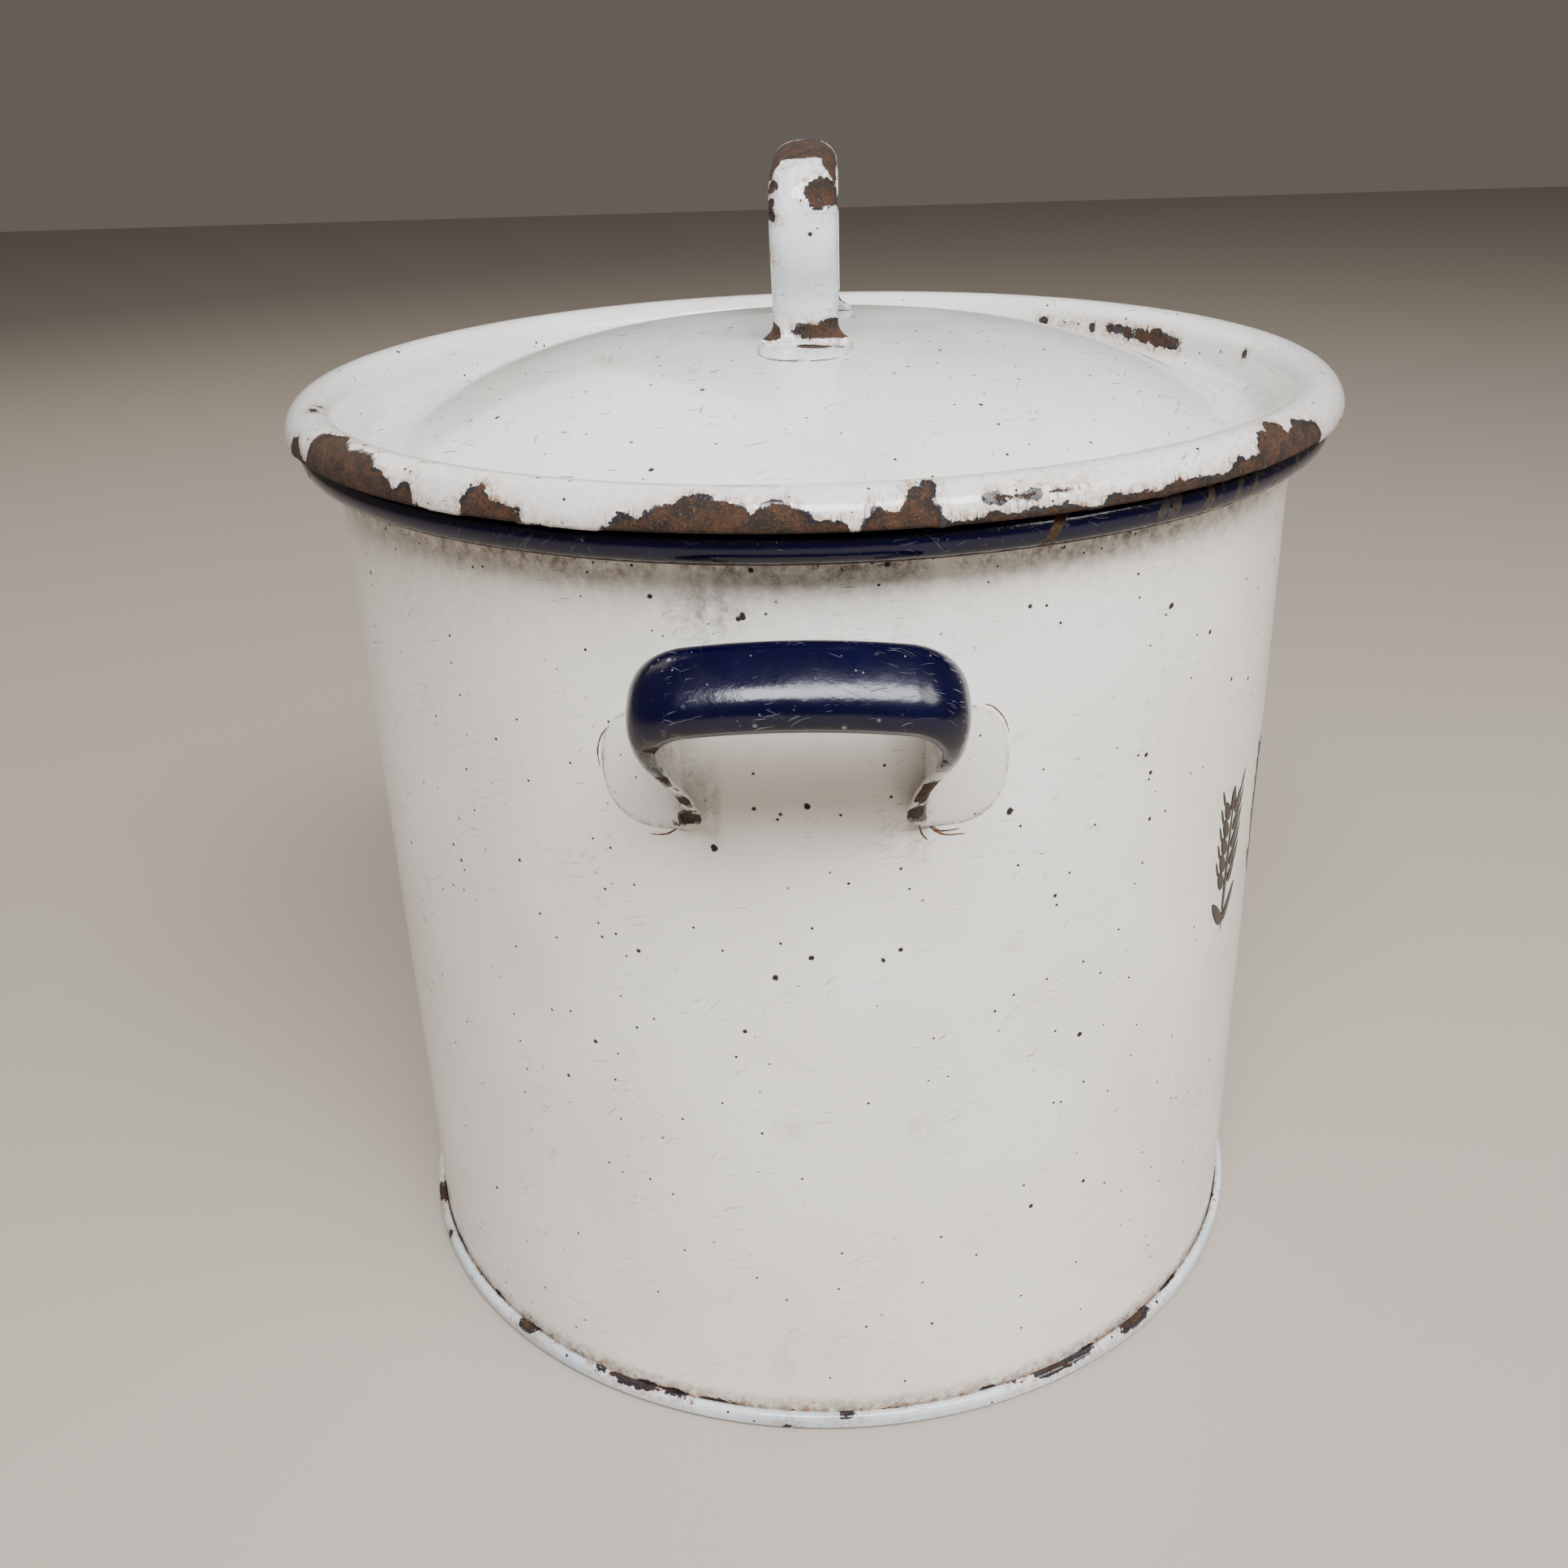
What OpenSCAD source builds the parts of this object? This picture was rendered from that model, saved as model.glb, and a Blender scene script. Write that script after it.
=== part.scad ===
// Lidded kitchen storage bin in enamelled sheet steel.
// A straight wall carries a wired rim and a folded-on base. Two stamped loop
// handles are welded to the wall and a third one to the loose domed lid.
// Origin: centre of the foot ring on the ground. +Z is up, the front is -Y,
// and the side handles are on +X and -X.

/* [Bin] */
// Outside diameter of the straight wall
body_d = 230; // [200:1:280]
// Height from the ground to the centre of the rim bead
bead_z = 220.7; // [180:0.1:280]
// Thickness of the sheet with its enamel
sheet_t = 1; // [0.8:0.1:1.2]
// Outer radius of the rim bead's round section
bead_r = 3.8; // [3.5:0.1:4.5]
// How far the wall flares out before it rolls over the wire
flare_w = 1.2; // [0.8:0.1:1.6]

/* [Base] */
// How far the folded base ring stands out from the wall
ring_out = 2.4; // [2.2:0.1:3.2]
// Height of the folded base ring
ring_h = 4.4; // [4.2:0.1:6]
// Height of the raised centre panel above the ground
panel_z = 3; // [1.5:0.1:3]
// Width of the flat foot ring
foot_w = 10; // [6:0.5:16]

/* [Lid] */
// Outer radius of the lid beyond the wall
lid_over = 10.4; // [9.8:0.1:11.5]
// Height of the lid rim's crest above the centre of the bead
crest_up = 10.8; // [10:0.1:12]
// Height of the dome's centre above the crest
dome_up = 8.5; // [6:0.1:14]
// Slope of the dome where it runs into the valley, in degrees
dome_foot_slope = 31; // [26:1:36]
// How far the lid can be lifted
lift = 150; // [60:10:250]

/* [Loop handles] */
// Width of the strap
strap_w = 16; // [14:0.5:18]
// Depth of the strap's rounded channel
strap_t = 3.6; // [3:0.1:4.5]
// Overall width of the loop
loop_w = 61; // [56:1:70]
// Distance from the loop's feet to the outside of its grip
loop_l = 42; // [38:1:48]
// Distance between the centres of the two feet, where the legs rise
root_span = 49; // [46:1:52]
// Length of a foot pad, along the strap's width
pad_l = 26; // [22:1:28]
// Width of a foot pad
pad_w = 17; // [15:0.5:18]
// Thickness of a foot pad
pad_t = 1.2; // [1:0.1:2]
// Distance between the centres of the foot pads
pad_span = 64; // [60:1:68]
// Upward tilt of the side handles, in degrees
side_tilt = 48; // [40:1:52]
// Height of the side handles' foot pads
side_z = 171; // [120:1:180]

/* [Hidden] */
$fn = 96;
white = "#e6e5df";
cobalt = "#12124f";
steel = "#8a8580";

body_r = body_d / 2;
inner_r = body_r - sheet_t;

// The rim: the wall flares, then rolls outwards over the wire.
bead_c = inner_r + flare_w + bead_r;
wire_gap = 0.3;
wire_r = bead_r - sheet_t - wire_gap;
flare_h = 7.7;
curl_end = 235;

// The base: the folded ring wraps the wall's turned-out flange.
ring_r = body_r + ring_out;
flange_w = 1.1;
fold_gap = 0.3;
foot_in = ring_r - foot_w;
step_w = 3;
ring_round = 1.2;

// The lid: hem, crest and valley are arcs, and the dome is a power curve.
lid_r = body_r + lid_over;
crest_z = bead_z + crest_up;
crest_r = 6.5;
crest_c = [lid_r - crest_r, crest_z - crest_r];
hem_r = 1.1;
hem_c = [lid_r - hem_r, crest_c[1]];
hem_in = lid_r - 3.8;
valley_r = 5.5;
valley_c = [crest_c[0] - crest_r - valley_r, crest_c[1] - 1];
dome_z = crest_z + dome_up;
dome_end = [valley_c[0] - valley_r * sin(dome_foot_slope),
            valley_c[1] - valley_r * cos(dome_foot_slope)];
dome_drop = dome_z - dome_end[1];
dome_power = tan(dome_foot_slope) * dome_end[0] / dome_drop;

// The loop handles.
loop_corner = 13;
leg_bow = 0.55;
grip_bow = 1.2;
crown_in = 2.2;
crown_cut = 0.9;
skin_gap = 0.05;
cut = 1;

// Points on an arc about c, from angle a0 to a1 in n steps.
function arc(c, r, a0, a1, n) =
    [for (i = [0:n]) let (a = a0 + (a1 - a0) * i / n) c + r * [cos(a), sin(a)]];
// Left-hand normal of a path at its point i.
function path_normal(p, i) =
    let (d = p[min(i + 1, len(p) - 1)] - p[max(i - 1, 0)]) [-d[1], d[0]] / norm(d);
// The path moved sideways by t, kept on the positive side of the axis when asked.
function beside(p, t, low_x) =
    [for (i = [0:len(p) - 1]) let (q = p[i] + t * path_normal(p, i)) [max(q[0], low_x), q[1]]];
function reversed(p) = [for (i = [len(p) - 1:-1:0]) p[i]];
function dome_height(r) = dome_z - dome_drop * pow(r / dome_end[0], dome_power);

// A strip of sheet with its right-hand side t to the right of a path.
module strip(path, t, low_x = -1000) {
    polygon(concat(path, reversed(beside(path, -t, low_x))));
}

// Outer face of the lid, from its centre out over the crest to the turned-in hem.
dome_steps = 24;
lid_path = concat(
    [for (i = [0:dome_steps - 1]) let (r = dome_end[0] * i / dome_steps) [r, dome_height(r)]],
    arc(valley_c, valley_r, -90 - dome_foot_slope, 0, 10),
    arc(crest_c, crest_r, 180, 0, 18),
    arc(hem_c, hem_r, -15, -90, 5),
    [[hem_in, hem_c[1] - hem_r]]
);

module body_wall() {
    color(white) rotate_extrude() {
        translate([inner_r, sheet_t]) square([sheet_t + flange_w, sheet_t]);
        translate([inner_r, sheet_t]) square([sheet_t, bead_z - flare_h - sheet_t]);
        polygon([[inner_r, bead_z - flare_h], [body_r, bead_z - flare_h],
                 [body_r + flare_w, bead_z], [inner_r + flare_w, bead_z]]);
        translate([bead_c, bead_z]) difference() {
            circle(bead_r);
            circle(bead_r - sheet_t);
            polygon(concat([[0, 0]], arc([0, 0], 2 * bead_r, 180, curl_end, 2)));
        }
    }
}

module rim_wire() {
    color(steel) rotate_extrude() translate([bead_c, bead_z]) circle(wire_r);
}

module base_pan() {
    under = concat(
        [[0, panel_z], [foot_in - step_w, panel_z], [foot_in, 0]],
        arc([ring_r - ring_round, ring_round], ring_round, -90, 0, 4),
        arc([ring_r - ring_round, ring_h - ring_round], ring_round, 0, 90, 4)
    );
    over = [
        [body_r + fold_gap, ring_h],
        [body_r + fold_gap, ring_h - sheet_t],
        [ring_r - sheet_t, ring_h - sheet_t],
        [ring_r - sheet_t, sheet_t],
        [foot_in + sheet_t / 2, sheet_t],
        [foot_in - step_w + sheet_t / 2, panel_z + sheet_t],
        [0, panel_z + sheet_t]
    ];
    color(white) rotate_extrude() polygon(concat(under, over));
}

// Outside of one half of a loop, from its foot at q = -below to the middle of its grip.
// in moves the line inwards, towards the middle of the loop.
function half_loop(in, below) =
    let (half = loop_w / 2 - in, corner = loop_corner - in, root = root_span / 2 + strap_t / 2 - in,
         side_q = loop_l - loop_corner)
    concat(
        [[root, -below], [root, 0],
         [root + (half - root) * leg_bow * 1.4, side_q * leg_bow]],
        arc([half - corner, side_q - grip_bow], corner, 0, 90, 12),
        [[0, loop_l - in]]
    );
function mirrored(p) = [for (i = [len(p) - 2:-1:0]) [-p[i][0], p[i][1]]];
function whole_loop(in, below) = concat(half_loop(in, below), mirrored(half_loop(in, below)));

// Strap bent to a loop that stands up along +Z from the XY plane, with its width along Y.
// Its face is crowned in steps, full in the middle of the width and lower at the edges.
module loop_strap(below) {
    rotate([90, 0, 0]) for (i = [0:2])
        translate([0, 0, -strap_w / 2 + i * crown_in / 2])
            linear_extrude(strap_w - i * crown_in)
                polygon(concat(whole_loop((2 - i) * crown_cut / 2, below),
                               reversed(whole_loop(strap_t, below))));
}

// Oval foot pad outline, with its length along Y.
module pad_outline() {
    straight = pad_l - pad_w;
    square([pad_w, straight], center = true);
    for (s = [-1, 1]) translate([0, s * straight / 2]) circle(d = pad_w);
}

module side_handle() {
    color(cobalt) union() {
        // the loop, tilted up from the wall and cut to the wall's curve
        difference() {
            translate([body_r, 0, side_z]) rotate([0, 90 - side_tilt, 0]) rotate([0, 0, 90])
                loop_strap(strap_w);
            translate([0, 0, side_z / 2]) cylinder(r = body_r + skin_gap, h = side_z);
        }
        // the two pads, splayed out along the wall
        for (s = [-1, 1]) intersection() {
            translate([0, 0, side_z - pad_l]) difference() {
                cylinder(r = body_r + pad_t, h = 2 * pad_l);
                translate([0, 0, -cut]) cylinder(r = body_r + skin_gap, h = 2 * pad_l + 2 * cut);
            }
            rotate([0, 0, s * pad_span / 2 / body_r * 180 / PI]) translate([body_r / 2, 0, side_z])
                rotate([90, 0, 90]) linear_extrude(body_r) pad_outline();
        }
    }
}

module side_handle_right() side_handle();
module side_handle_left() rotate([0, 0, 180]) side_handle();

module lid_shell() {
    color(white) rotate_extrude() strip(lid_path, sheet_t, 0);
}

module lid_handle() {
    pad_reach = pad_span / 2 + pad_w;
    rise = [for (i = [0:8]) let (r = pad_reach * i / 8) [r, dome_height(r) + skin_gap]];
    color(white) difference() {
        union() {
            translate([0, 0, dome_z]) loop_strap(strap_t);
            // the pads lie on the dome, one at each foot
            intersection() {
                for (s = [-1, 1]) translate([s * pad_span / 2, 0, dome_z - 2 * pad_t])
                    linear_extrude(4 * pad_t) pad_outline();
                rotate_extrude() polygon(concat([[0, dome_z - 3 * pad_t]],
                    [for (p = rise) p + [0, pad_t]], [[pad_reach, dome_z - 3 * pad_t]]));
            }
        }
        rotate_extrude() polygon(concat([[0, dome_z - 5 * pad_t]], rise,
            [[pad_reach, dome_z - 5 * pad_t]]));
    }
}

body_wall();
rim_wire();
base_pan();
side_handle_left();
side_handle_right();
lid_shell();
lid_handle();
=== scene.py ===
# %% [markdown]
# # A lidded flour bin in worn enamelware
#
# The real bin is thin pressed steel, dipped in white glass enamel and fired. The rim bead and the
# side handles have a second coat in dark cobalt. Years of use have chipped the glass off wherever
# the lid and the bin knock together, and the bare steel there has rusted.
#
# This lesson builds every sheet as a real thin shell around the engineering model, then gives each
# one a finish that knows where it is worn. The wear is worked out once, as a number on every
# vertex, so the dent left by a flake and its rusty colour always lie in the same place.

# %% Load the engineering model
import math
from functools import partial

import bmesh
import bpy
from mathutils import Matrix, Vector, kdtree, noise


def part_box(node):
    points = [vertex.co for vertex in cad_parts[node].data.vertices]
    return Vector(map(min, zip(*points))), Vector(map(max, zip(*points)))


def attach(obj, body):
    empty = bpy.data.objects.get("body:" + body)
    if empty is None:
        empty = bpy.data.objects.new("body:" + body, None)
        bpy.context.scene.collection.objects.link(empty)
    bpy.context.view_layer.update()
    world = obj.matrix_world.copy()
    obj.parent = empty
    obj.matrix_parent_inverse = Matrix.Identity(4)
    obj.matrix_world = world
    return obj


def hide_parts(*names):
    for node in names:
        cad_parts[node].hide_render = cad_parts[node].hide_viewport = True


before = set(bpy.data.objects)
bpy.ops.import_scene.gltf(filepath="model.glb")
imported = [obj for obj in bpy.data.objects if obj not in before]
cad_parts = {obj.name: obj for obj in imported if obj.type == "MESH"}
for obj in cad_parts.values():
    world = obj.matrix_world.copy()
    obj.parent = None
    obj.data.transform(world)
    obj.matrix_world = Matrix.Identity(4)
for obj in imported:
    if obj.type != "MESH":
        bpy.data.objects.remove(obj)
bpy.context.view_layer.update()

# %% [markdown]
# ## Sizes
#
# Everything here is in millimetres until the last moment, because sheet metal is drawn in
# millimetres and the numbers stay easy to read. The main ones are measured from the engineering
# model's own parts, so the shells land exactly where those parts are.

# %% Sizes measured from the parts
MM = 0.001


def size_of(node):
    """Lowest and highest corner of an engineering part, in millimetres."""
    low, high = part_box(node)
    return low / MM, high / MM


BEAD_OUT = size_of("body_wall")[1].x
BEAD_TOP = size_of("body_wall")[1].z
RING_OUT = size_of("base_pan")[1].x
RING_TOP = size_of("base_pan")[1].z
LID_OUT = size_of("lid_shell")[1].x
DOME_TOP = size_of("lid_shell")[1].z
LOOP_TOP = size_of("lid_handle")[1].z
SHEET = 1.0
BEAD_ROUND = 3.8
WALL_OUT = RING_OUT - 2.4
BEAD_X, BEAD_Z = BEAD_OUT - BEAD_ROUND, BEAD_TOP - BEAD_ROUND
print("wall", WALL_OUT, "bead", BEAD_X, BEAD_Z, "lid", LID_OUT, "dome", DOME_TOP)

# %% [markdown]
# ## The camera
#
# The view is from close by, a forearm's length away, looking down at the left-hand handle. The
# frame is square, so a 36 mm lens on a 36 mm sensor sees about 53 degrees. So wide a view from so
# near is what makes the straight wall seem to narrow towards the floor.

# %% Camera
HEADING, LOOK_DOWN, ROLL = 2.91, 25.17, 1.94
CAMERA_PLACE = Vector((-393.1, -10.3, 302.0))
camera = bpy.data.objects.new("camera", bpy.data.cameras.new("camera"))
bpy.context.scene.collection.objects.link(camera)
bpy.context.scene.camera = camera
camera.data.sensor_width = 36
camera.data.lens = 36.07
camera.location = CAMERA_PLACE * MM
camera.rotation_euler = [math.radians(a) for a in (90 - LOOK_DOWN, 0, HEADING - 90)]
camera.rotation_euler.rotate_axis("Z", math.radians(-ROLL))
print("camera", [round(c / MM) for c in camera.location], "mm from the foot's centre")

# %% [markdown]
# ## Drawing an outline
#
# Pressed sheet is drawn as a cross-section: short straights joined by arcs. Three helpers are
# enough to draw any of them. One gives the points of an arc, one fills long gaps with extra points
# so the mesh is fine where the wear needs it, and one draws the far face of the sheet.


# %% Outline helpers
def arc(centre, radius, start, end, gap=1.0):
    """Points along an arc in the X-Z plane, from one angle to another, in degrees."""
    steps = max(2, math.ceil(abs(math.radians(end - start)) * radius / gap))
    angles = [math.radians(start + (end - start) * i / steps) for i in range(steps + 1)]
    return [(centre[0] + radius * math.cos(a), centre[1] + radius * math.sin(a)) for a in angles]


def fill_in(points, gap):
    """The same outline with extra points, so no two neighbours are more than gap apart."""
    filled = [points[0]]
    for a, b in zip(points, points[1:]):
        steps = max(1, math.ceil(math.dist(a, b) / gap))
        filled += [tuple(p + (q - p) * i / steps for p, q in zip(a, b)) for i in range(1, steps + 1)]
    return filled


def far_face(points, sheet=SHEET):
    """The other face of a sheet, to the right of its outline and never past the axis."""
    face = []
    for i, (x, z) in enumerate(points):
        ax, az = points[max(i - 1, 0)]
        bx, bz = points[min(i + 1, len(points) - 1)]
        length = math.hypot(bx - ax, bz - az)
        face.append((max(0.0, x + sheet * (bz - az) / length), z - sheet * (bx - ax) / length))
    return face


# %% [markdown]
# ## Turning a sheet
#
# Spinning and pressing both leave round work, so the natural tool is spin: the closed outline of
# the sheet goes once round the axis and merges with itself. The outline already has the sheet's
# two faces, so the result is a closed shell with a real thickness and real folded edges.


# %% Lathe and finishing helpers
def lathe(outline, turns):
    """A closed shell in millimetres, made by spinning a closed outline once round Z."""
    bm = bmesh.new()
    verts = [bm.verts.new((x, 0, z)) for x, z in outline]
    edges = [bm.edges.new(pair) for pair in zip(verts, verts[1:] + verts[:1])]
    bmesh.ops.spin(bm, geom=verts + edges, cent=(0, 0, 0), axis=(0, 0, 1),
                   angle=2 * math.pi, steps=turns, use_merge=True, use_duplicate=False)
    bmesh.ops.remove_doubles(bm, verts=bm.verts, dist=0.002)
    bmesh.ops.recalc_face_normals(bm, faces=bm.faces)
    return bm


def turn_about(bm, axis, angle):
    """Turns a whole bmesh about one of the frame's axes, in radians."""
    turn = Matrix.Rotation(angle, 3, axis)
    bmesh.ops.rotate(bm, cent=(0, 0, 0), matrix=turn, verts=bm.verts)


def finish_piece(bm, name, body, material, replaces=()):
    """Turns a bmesh in millimetres into a smooth-shaded object that rides on a body."""
    bmesh.ops.scale(bm, vec=(MM, MM, MM), verts=bm.verts)
    mesh = bpy.data.meshes.new(name)
    bm.to_mesh(mesh)
    bm.free()
    mesh.shade_smooth()
    mesh.materials.append(material)
    piece = bpy.data.objects.new(name, mesh)
    bpy.context.scene.collection.objects.link(piece)
    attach(piece, body)
    if replaces:
        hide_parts(*replaces)
    print(name, len(mesh.vertices), "vertices,", len(mesh.polygons), "faces")


# %% [markdown]
# ## Wear as a number
#
# Glass enamel doesn't rub away, it flakes off in shells. Each flake here is an oval in the
# surface's own directions, u along the edge and v across it. bareness gives how many millimetres
# a place lies inside the nearest flake, and soft noise makes the outline ragged. The same number
# later sinks the surface by the thickness of the glass and tells the material where steel shows.

# %% Wear helpers
GLASS = 0.3
WEAR_REACH = 4.0


def bareness(u, v, flakes):
    """How deep inside the nearest flake a place is, in millimetres. It is negative outside."""
    deepest = -WEAR_REACH
    for centre_u, centre_v, half_u, half_v in flakes:
        away = math.hypot((u - centre_u) / half_u, (v - centre_v) / half_v)
        deepest = max(deepest, (1 - away) * min(half_u, half_v))
    return deepest


def ragged(place):
    """Noise in millimetres that frays a flake's outline, in coarse and in fine shells."""
    return noise.noise(place / 5.0) * 2.2 + noise.noise(place / 1.9) * 1.3


def new_layers(bm, *names):
    """Adds a number to every vertex under each name."""
    return [bm.verts.layers.float.new(name) for name in names]


def sink(bm):
    """Lowers the surface by the glass's thickness wherever a flake has left the steel bare."""
    layer = bm.verts.layers.float["bare"]
    bm.normal_update()
    for vert in bm.verts:
        inside = min(1.0, max(0.0, vert[layer] / 0.9 + 0.3))
        vert.co -= vert.normal * GLASS * inside


# %% [markdown]
# ## Colours and nodes
#
# Colours are noted in sRGB, and one function turns them linear.
# One more adds a node with its settings and links, which keeps the long recipes readable. Inside
# a recipe it is called n, short for node. Every pattern is laid out in millimetres on the piece
# itself, so a speck has a true size and stays put when the lid moves.


# %% Material helpers
def colour(hex_text):
    """Linear RGBA from an sRGB hex colour."""
    parts = [int(hex_text[i:i + 2], 16) / 255 for i in (1, 3, 5)]
    return [p / 12.92 if p <= 0.04045 else ((p + 0.055) / 1.055) ** 2.4 for p in parts] + [1]


def add_node(tree, kind, inputs=None, out=0, **settings):
    """Adds a shader node, sets its properties, and fills its inputs with values or links."""
    made = tree.nodes.new("ShaderNode" + kind)
    for key, value in settings.items():
        setattr(made, key, value)
    for key, value in (inputs or {}).items():
        if isinstance(value, bpy.types.NodeSocket):
            tree.links.new(value, made.inputs[key])
        else:
            made.inputs[key].default_value = value
    return made.outputs[out]


def new_material(name, ior=1.5):
    """A material with its node tree's short add function, and its shader."""
    material = bpy.data.materials.new(name)
    material.use_nodes = True
    shader = material.node_tree.nodes["Principled BSDF"]
    shader.inputs["IOR"].default_value = ior
    return material, partial(add_node, material.node_tree), shader


def plug_in(material, shader, height=None, **sources):
    """Links outputs into the shader, with _ in a socket's name for each space. Height is in mm."""
    tree = material.node_tree
    if height:
        sources["Normal"] = add_node(tree, "Bump", {"Height": height, "Distance": MM})
    for name, source in sources.items():
        tree.links.new(source, shader.inputs[name.replace("_", " ")])
    return material


RGBA = {"out": 2, "data_type": "RGBA"}


def in_mm(n):
    """The place on the piece itself, in millimetres."""
    return n("VectorMath", {0: n("TexCoord", out="Object"), "Scale": 1000.0}, operation="SCALE")


def patched(n, source, low, high, under, over):
    """One colour giving way to another as the source rises from low to high."""
    return n("Mix", {0: n("MapRange", {0: source, 1: low, 2: high}), 6: under, 7: over}, **RGBA)


# %% [markdown]
# ## Patterns that every coat shares
#
# Pinholes are bubbles that burst in the kiln and later held dirt: tiny dark dots, scattered by a
# cell pattern in which only the cells whose centre happens to lie on the surface show. Hairlines
# are scratches: noise squeezed to threads in one direction. Rust is grainy and never one brown.


# %% Shared patterns
def pinholes(n, mm, cell, radius):
    """1 inside small round pits. cell is their spacing and radius the largest pit's, in mm."""
    away = n("TexVoronoi", {"Vector": mm, "Scale": 1 / cell}, out="Distance")
    return n("MapRange", {0: away, 1: radius / cell, 2: 0.6 * radius / cell})


def spots(n, mm, marks):
    """1 inside each listed spot. A mark is a place and a radius in mm."""
    fray = n("TexNoise", {"Vector": mm, "Scale": 1 / 0.9, "Detail": 3})
    nearest = n("MapRange", {0: fray, 1: 0.3, 2: 0.7, 3: 5.0, 4: 5.0})
    for place, radius in marks:
        away = n("VectorMath", {0: mm, 1: place}, out="Value", operation="DISTANCE")
        share = n("Math", {0: away, 1: radius}, operation="DIVIDE")
        nearest = n("Math", {0: nearest, 1: share}, operation="MINIMUM")
    ragged_edge = n("Math", {0: fray, 1: 1.2, 2: nearest}, operation="MULTIPLY_ADD")
    return n("MapRange", {0: ragged_edge, 1: 1.65, 2: 1.35})


def hairlines(n, mm, turn, rarity):
    """1 along fine scratches of one slant. turn is three angles in radians."""
    wander = n("TexNoise", {"Vector": mm, "Scale": 1 / 6, "Detail": 1}, out="Color")
    bent = n("VectorMath", {0: wander, 1: [2.0] * 3, 2: mm}, operation="MULTIPLY_ADD")
    squeezed = n("Mapping", {"Vector": bent, "Rotation": turn, "Scale": [5.0, 0.2, 5.0]},
                 vector_type="TEXTURE")
    threads = n("TexNoise", {"Vector": squeezed, "Scale": 1, "Detail": 0})
    patches = n("TexNoise", {"Vector": mm, "Scale": 1 / 13, "Detail": 2})
    often = n("MapRange", {0: patches, 1: 0.4, 2: 0.65, 3: rarity + 0.12, 4: rarity})
    return n("MapRange", {0: n("Math", {0: threads, 1: often}, operation="SUBTRACT"), 1: 0, 2: 0.03})


def rust(n, mm):
    """Colour and grain of old rust in the flakes: dark brown, a few fresher grains, black pits."""
    cloud = n("TexNoise", {"Vector": mm, "Scale": 1 / 4, "Detail": 5, "Roughness": 0.65})
    grain = n("TexNoise", {"Vector": mm, "Scale": 1 / 0.6, "Detail": 3, "Roughness": 0.7})
    brown = patched(n, cloud, 0.38, 0.62, colour("#1e1208"), colour("#432811"))
    fresher = patched(n, grain, 0.56, 0.74, brown, colour("#5c4530"))
    return patched(n, grain, 0.44, 0.3, fresher, colour("#0c0805")), grain


def bare_masks(n, mm):
    """Masks from the bare layer: bare steel, the dark ground coat at its edge, and the halo."""
    bare = n("Attribute", attribute_name="bare", out="Fac")
    crumbs = n("TexNoise", {"Vector": mm, "Scale": 1 / 1.1, "Detail": 4, "Roughness": 0.7})
    frayed = n("Math", {0: crumbs, 1: 1.8, 2: bare}, operation="MULTIPLY_ADD")
    steel = n("MapRange", {0: frayed, 1: 0.88, 2: 0.96})
    width = n("TexNoise", {"Vector": mm, "Scale": 1 / 6, "Detail": 2})
    reach = n("MapRange", {0: width, 1: 0.4, 2: 0.62, 3: 0.84, 4: 0.0})
    rim = n("MapRange", {0: n("Math", {0: frayed, 1: reach}, operation="SUBTRACT"), 1: 0, 2: 0.14})
    halo = n("MapRange", {0: bare, 1: -3.6, 2: -0.2})
    return steel, rim, halo


# %% [markdown]
# ## White vitreous enamel
#
# Vitreous enamel is glass fused to steel. Its index is 1.5 and its skin is smooth but never flat:
# the melt sets with an orange-peel ripple a few millimetres wide, which is what makes reflected
# windows wobble. The white is slightly warm, and it stains where dirt collects. The stain layer
# on the vertices says where that is, and it also carries painted shade: under the bead, at the
# side handle's roots and in the lid's valley.


# %% White glass
def white_glass(n, mm, stain_and_shade, white, tint, dirt_and_shade):
    """The white itself, a little uneven, and a mask of the dirt and the painted shade that lie on it.
    """
    cloud = n("TexNoise", {"Vector": mm, "Scale": 1 / 45, "Detail": 3})
    glass = patched(n, cloud, 0.35, 0.7, colour(white), colour(tint))
    smear = n("TexNoise", {"Vector": mm, "Scale": 1 / 2.6, "Detail": 6, "Roughness": 0.75})
    # painted shade as well as dirt: the stain layer darkens the white towards the dirt colour
    dirt_and_shade_mask = n("Math", {0: n("MapRange", {0: smear, 1: 0.36, 2: 0.62}), 1: stain_and_shade},
              operation="MULTIPLY", use_clamp=True)
    return n("Mix", {0: dirt_and_shade_mask, 6: glass, 7: colour(dirt_and_shade)}, **RGBA), dirt_and_shade_mask


# %% [markdown]
# Round a flake the glass is cracked under its surface, so rust tints it the colour of tea. There
# are also lines dragged across the edge by whatever knocked it. Everywhere else the coat only has
# a few fine scratches, and pits which crowd in the dirt, in the painted shade and round the halos.


# %% Halo, scratches and pits
def rust_tinted(n, mm, glass, halo):
    """Lets rust into the glass round a flake, in ragged patches."""
    fine = n("TexNoise", {"Vector": mm, "Scale": 1 / 1.4, "Detail": 4, "Roughness": 0.7})
    tea = n("Math", {0: n("MapRange", {0: fine, 1: 0.4, 2: 0.64}), 1: halo}, operation="MULTIPLY")
    share = n("Math", {0: tea, 1: 0.95}, operation="MULTIPLY")
    return n("Mix", {0: share, 6: glass, 7: colour("#a26f3e")}, **RGBA)


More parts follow.
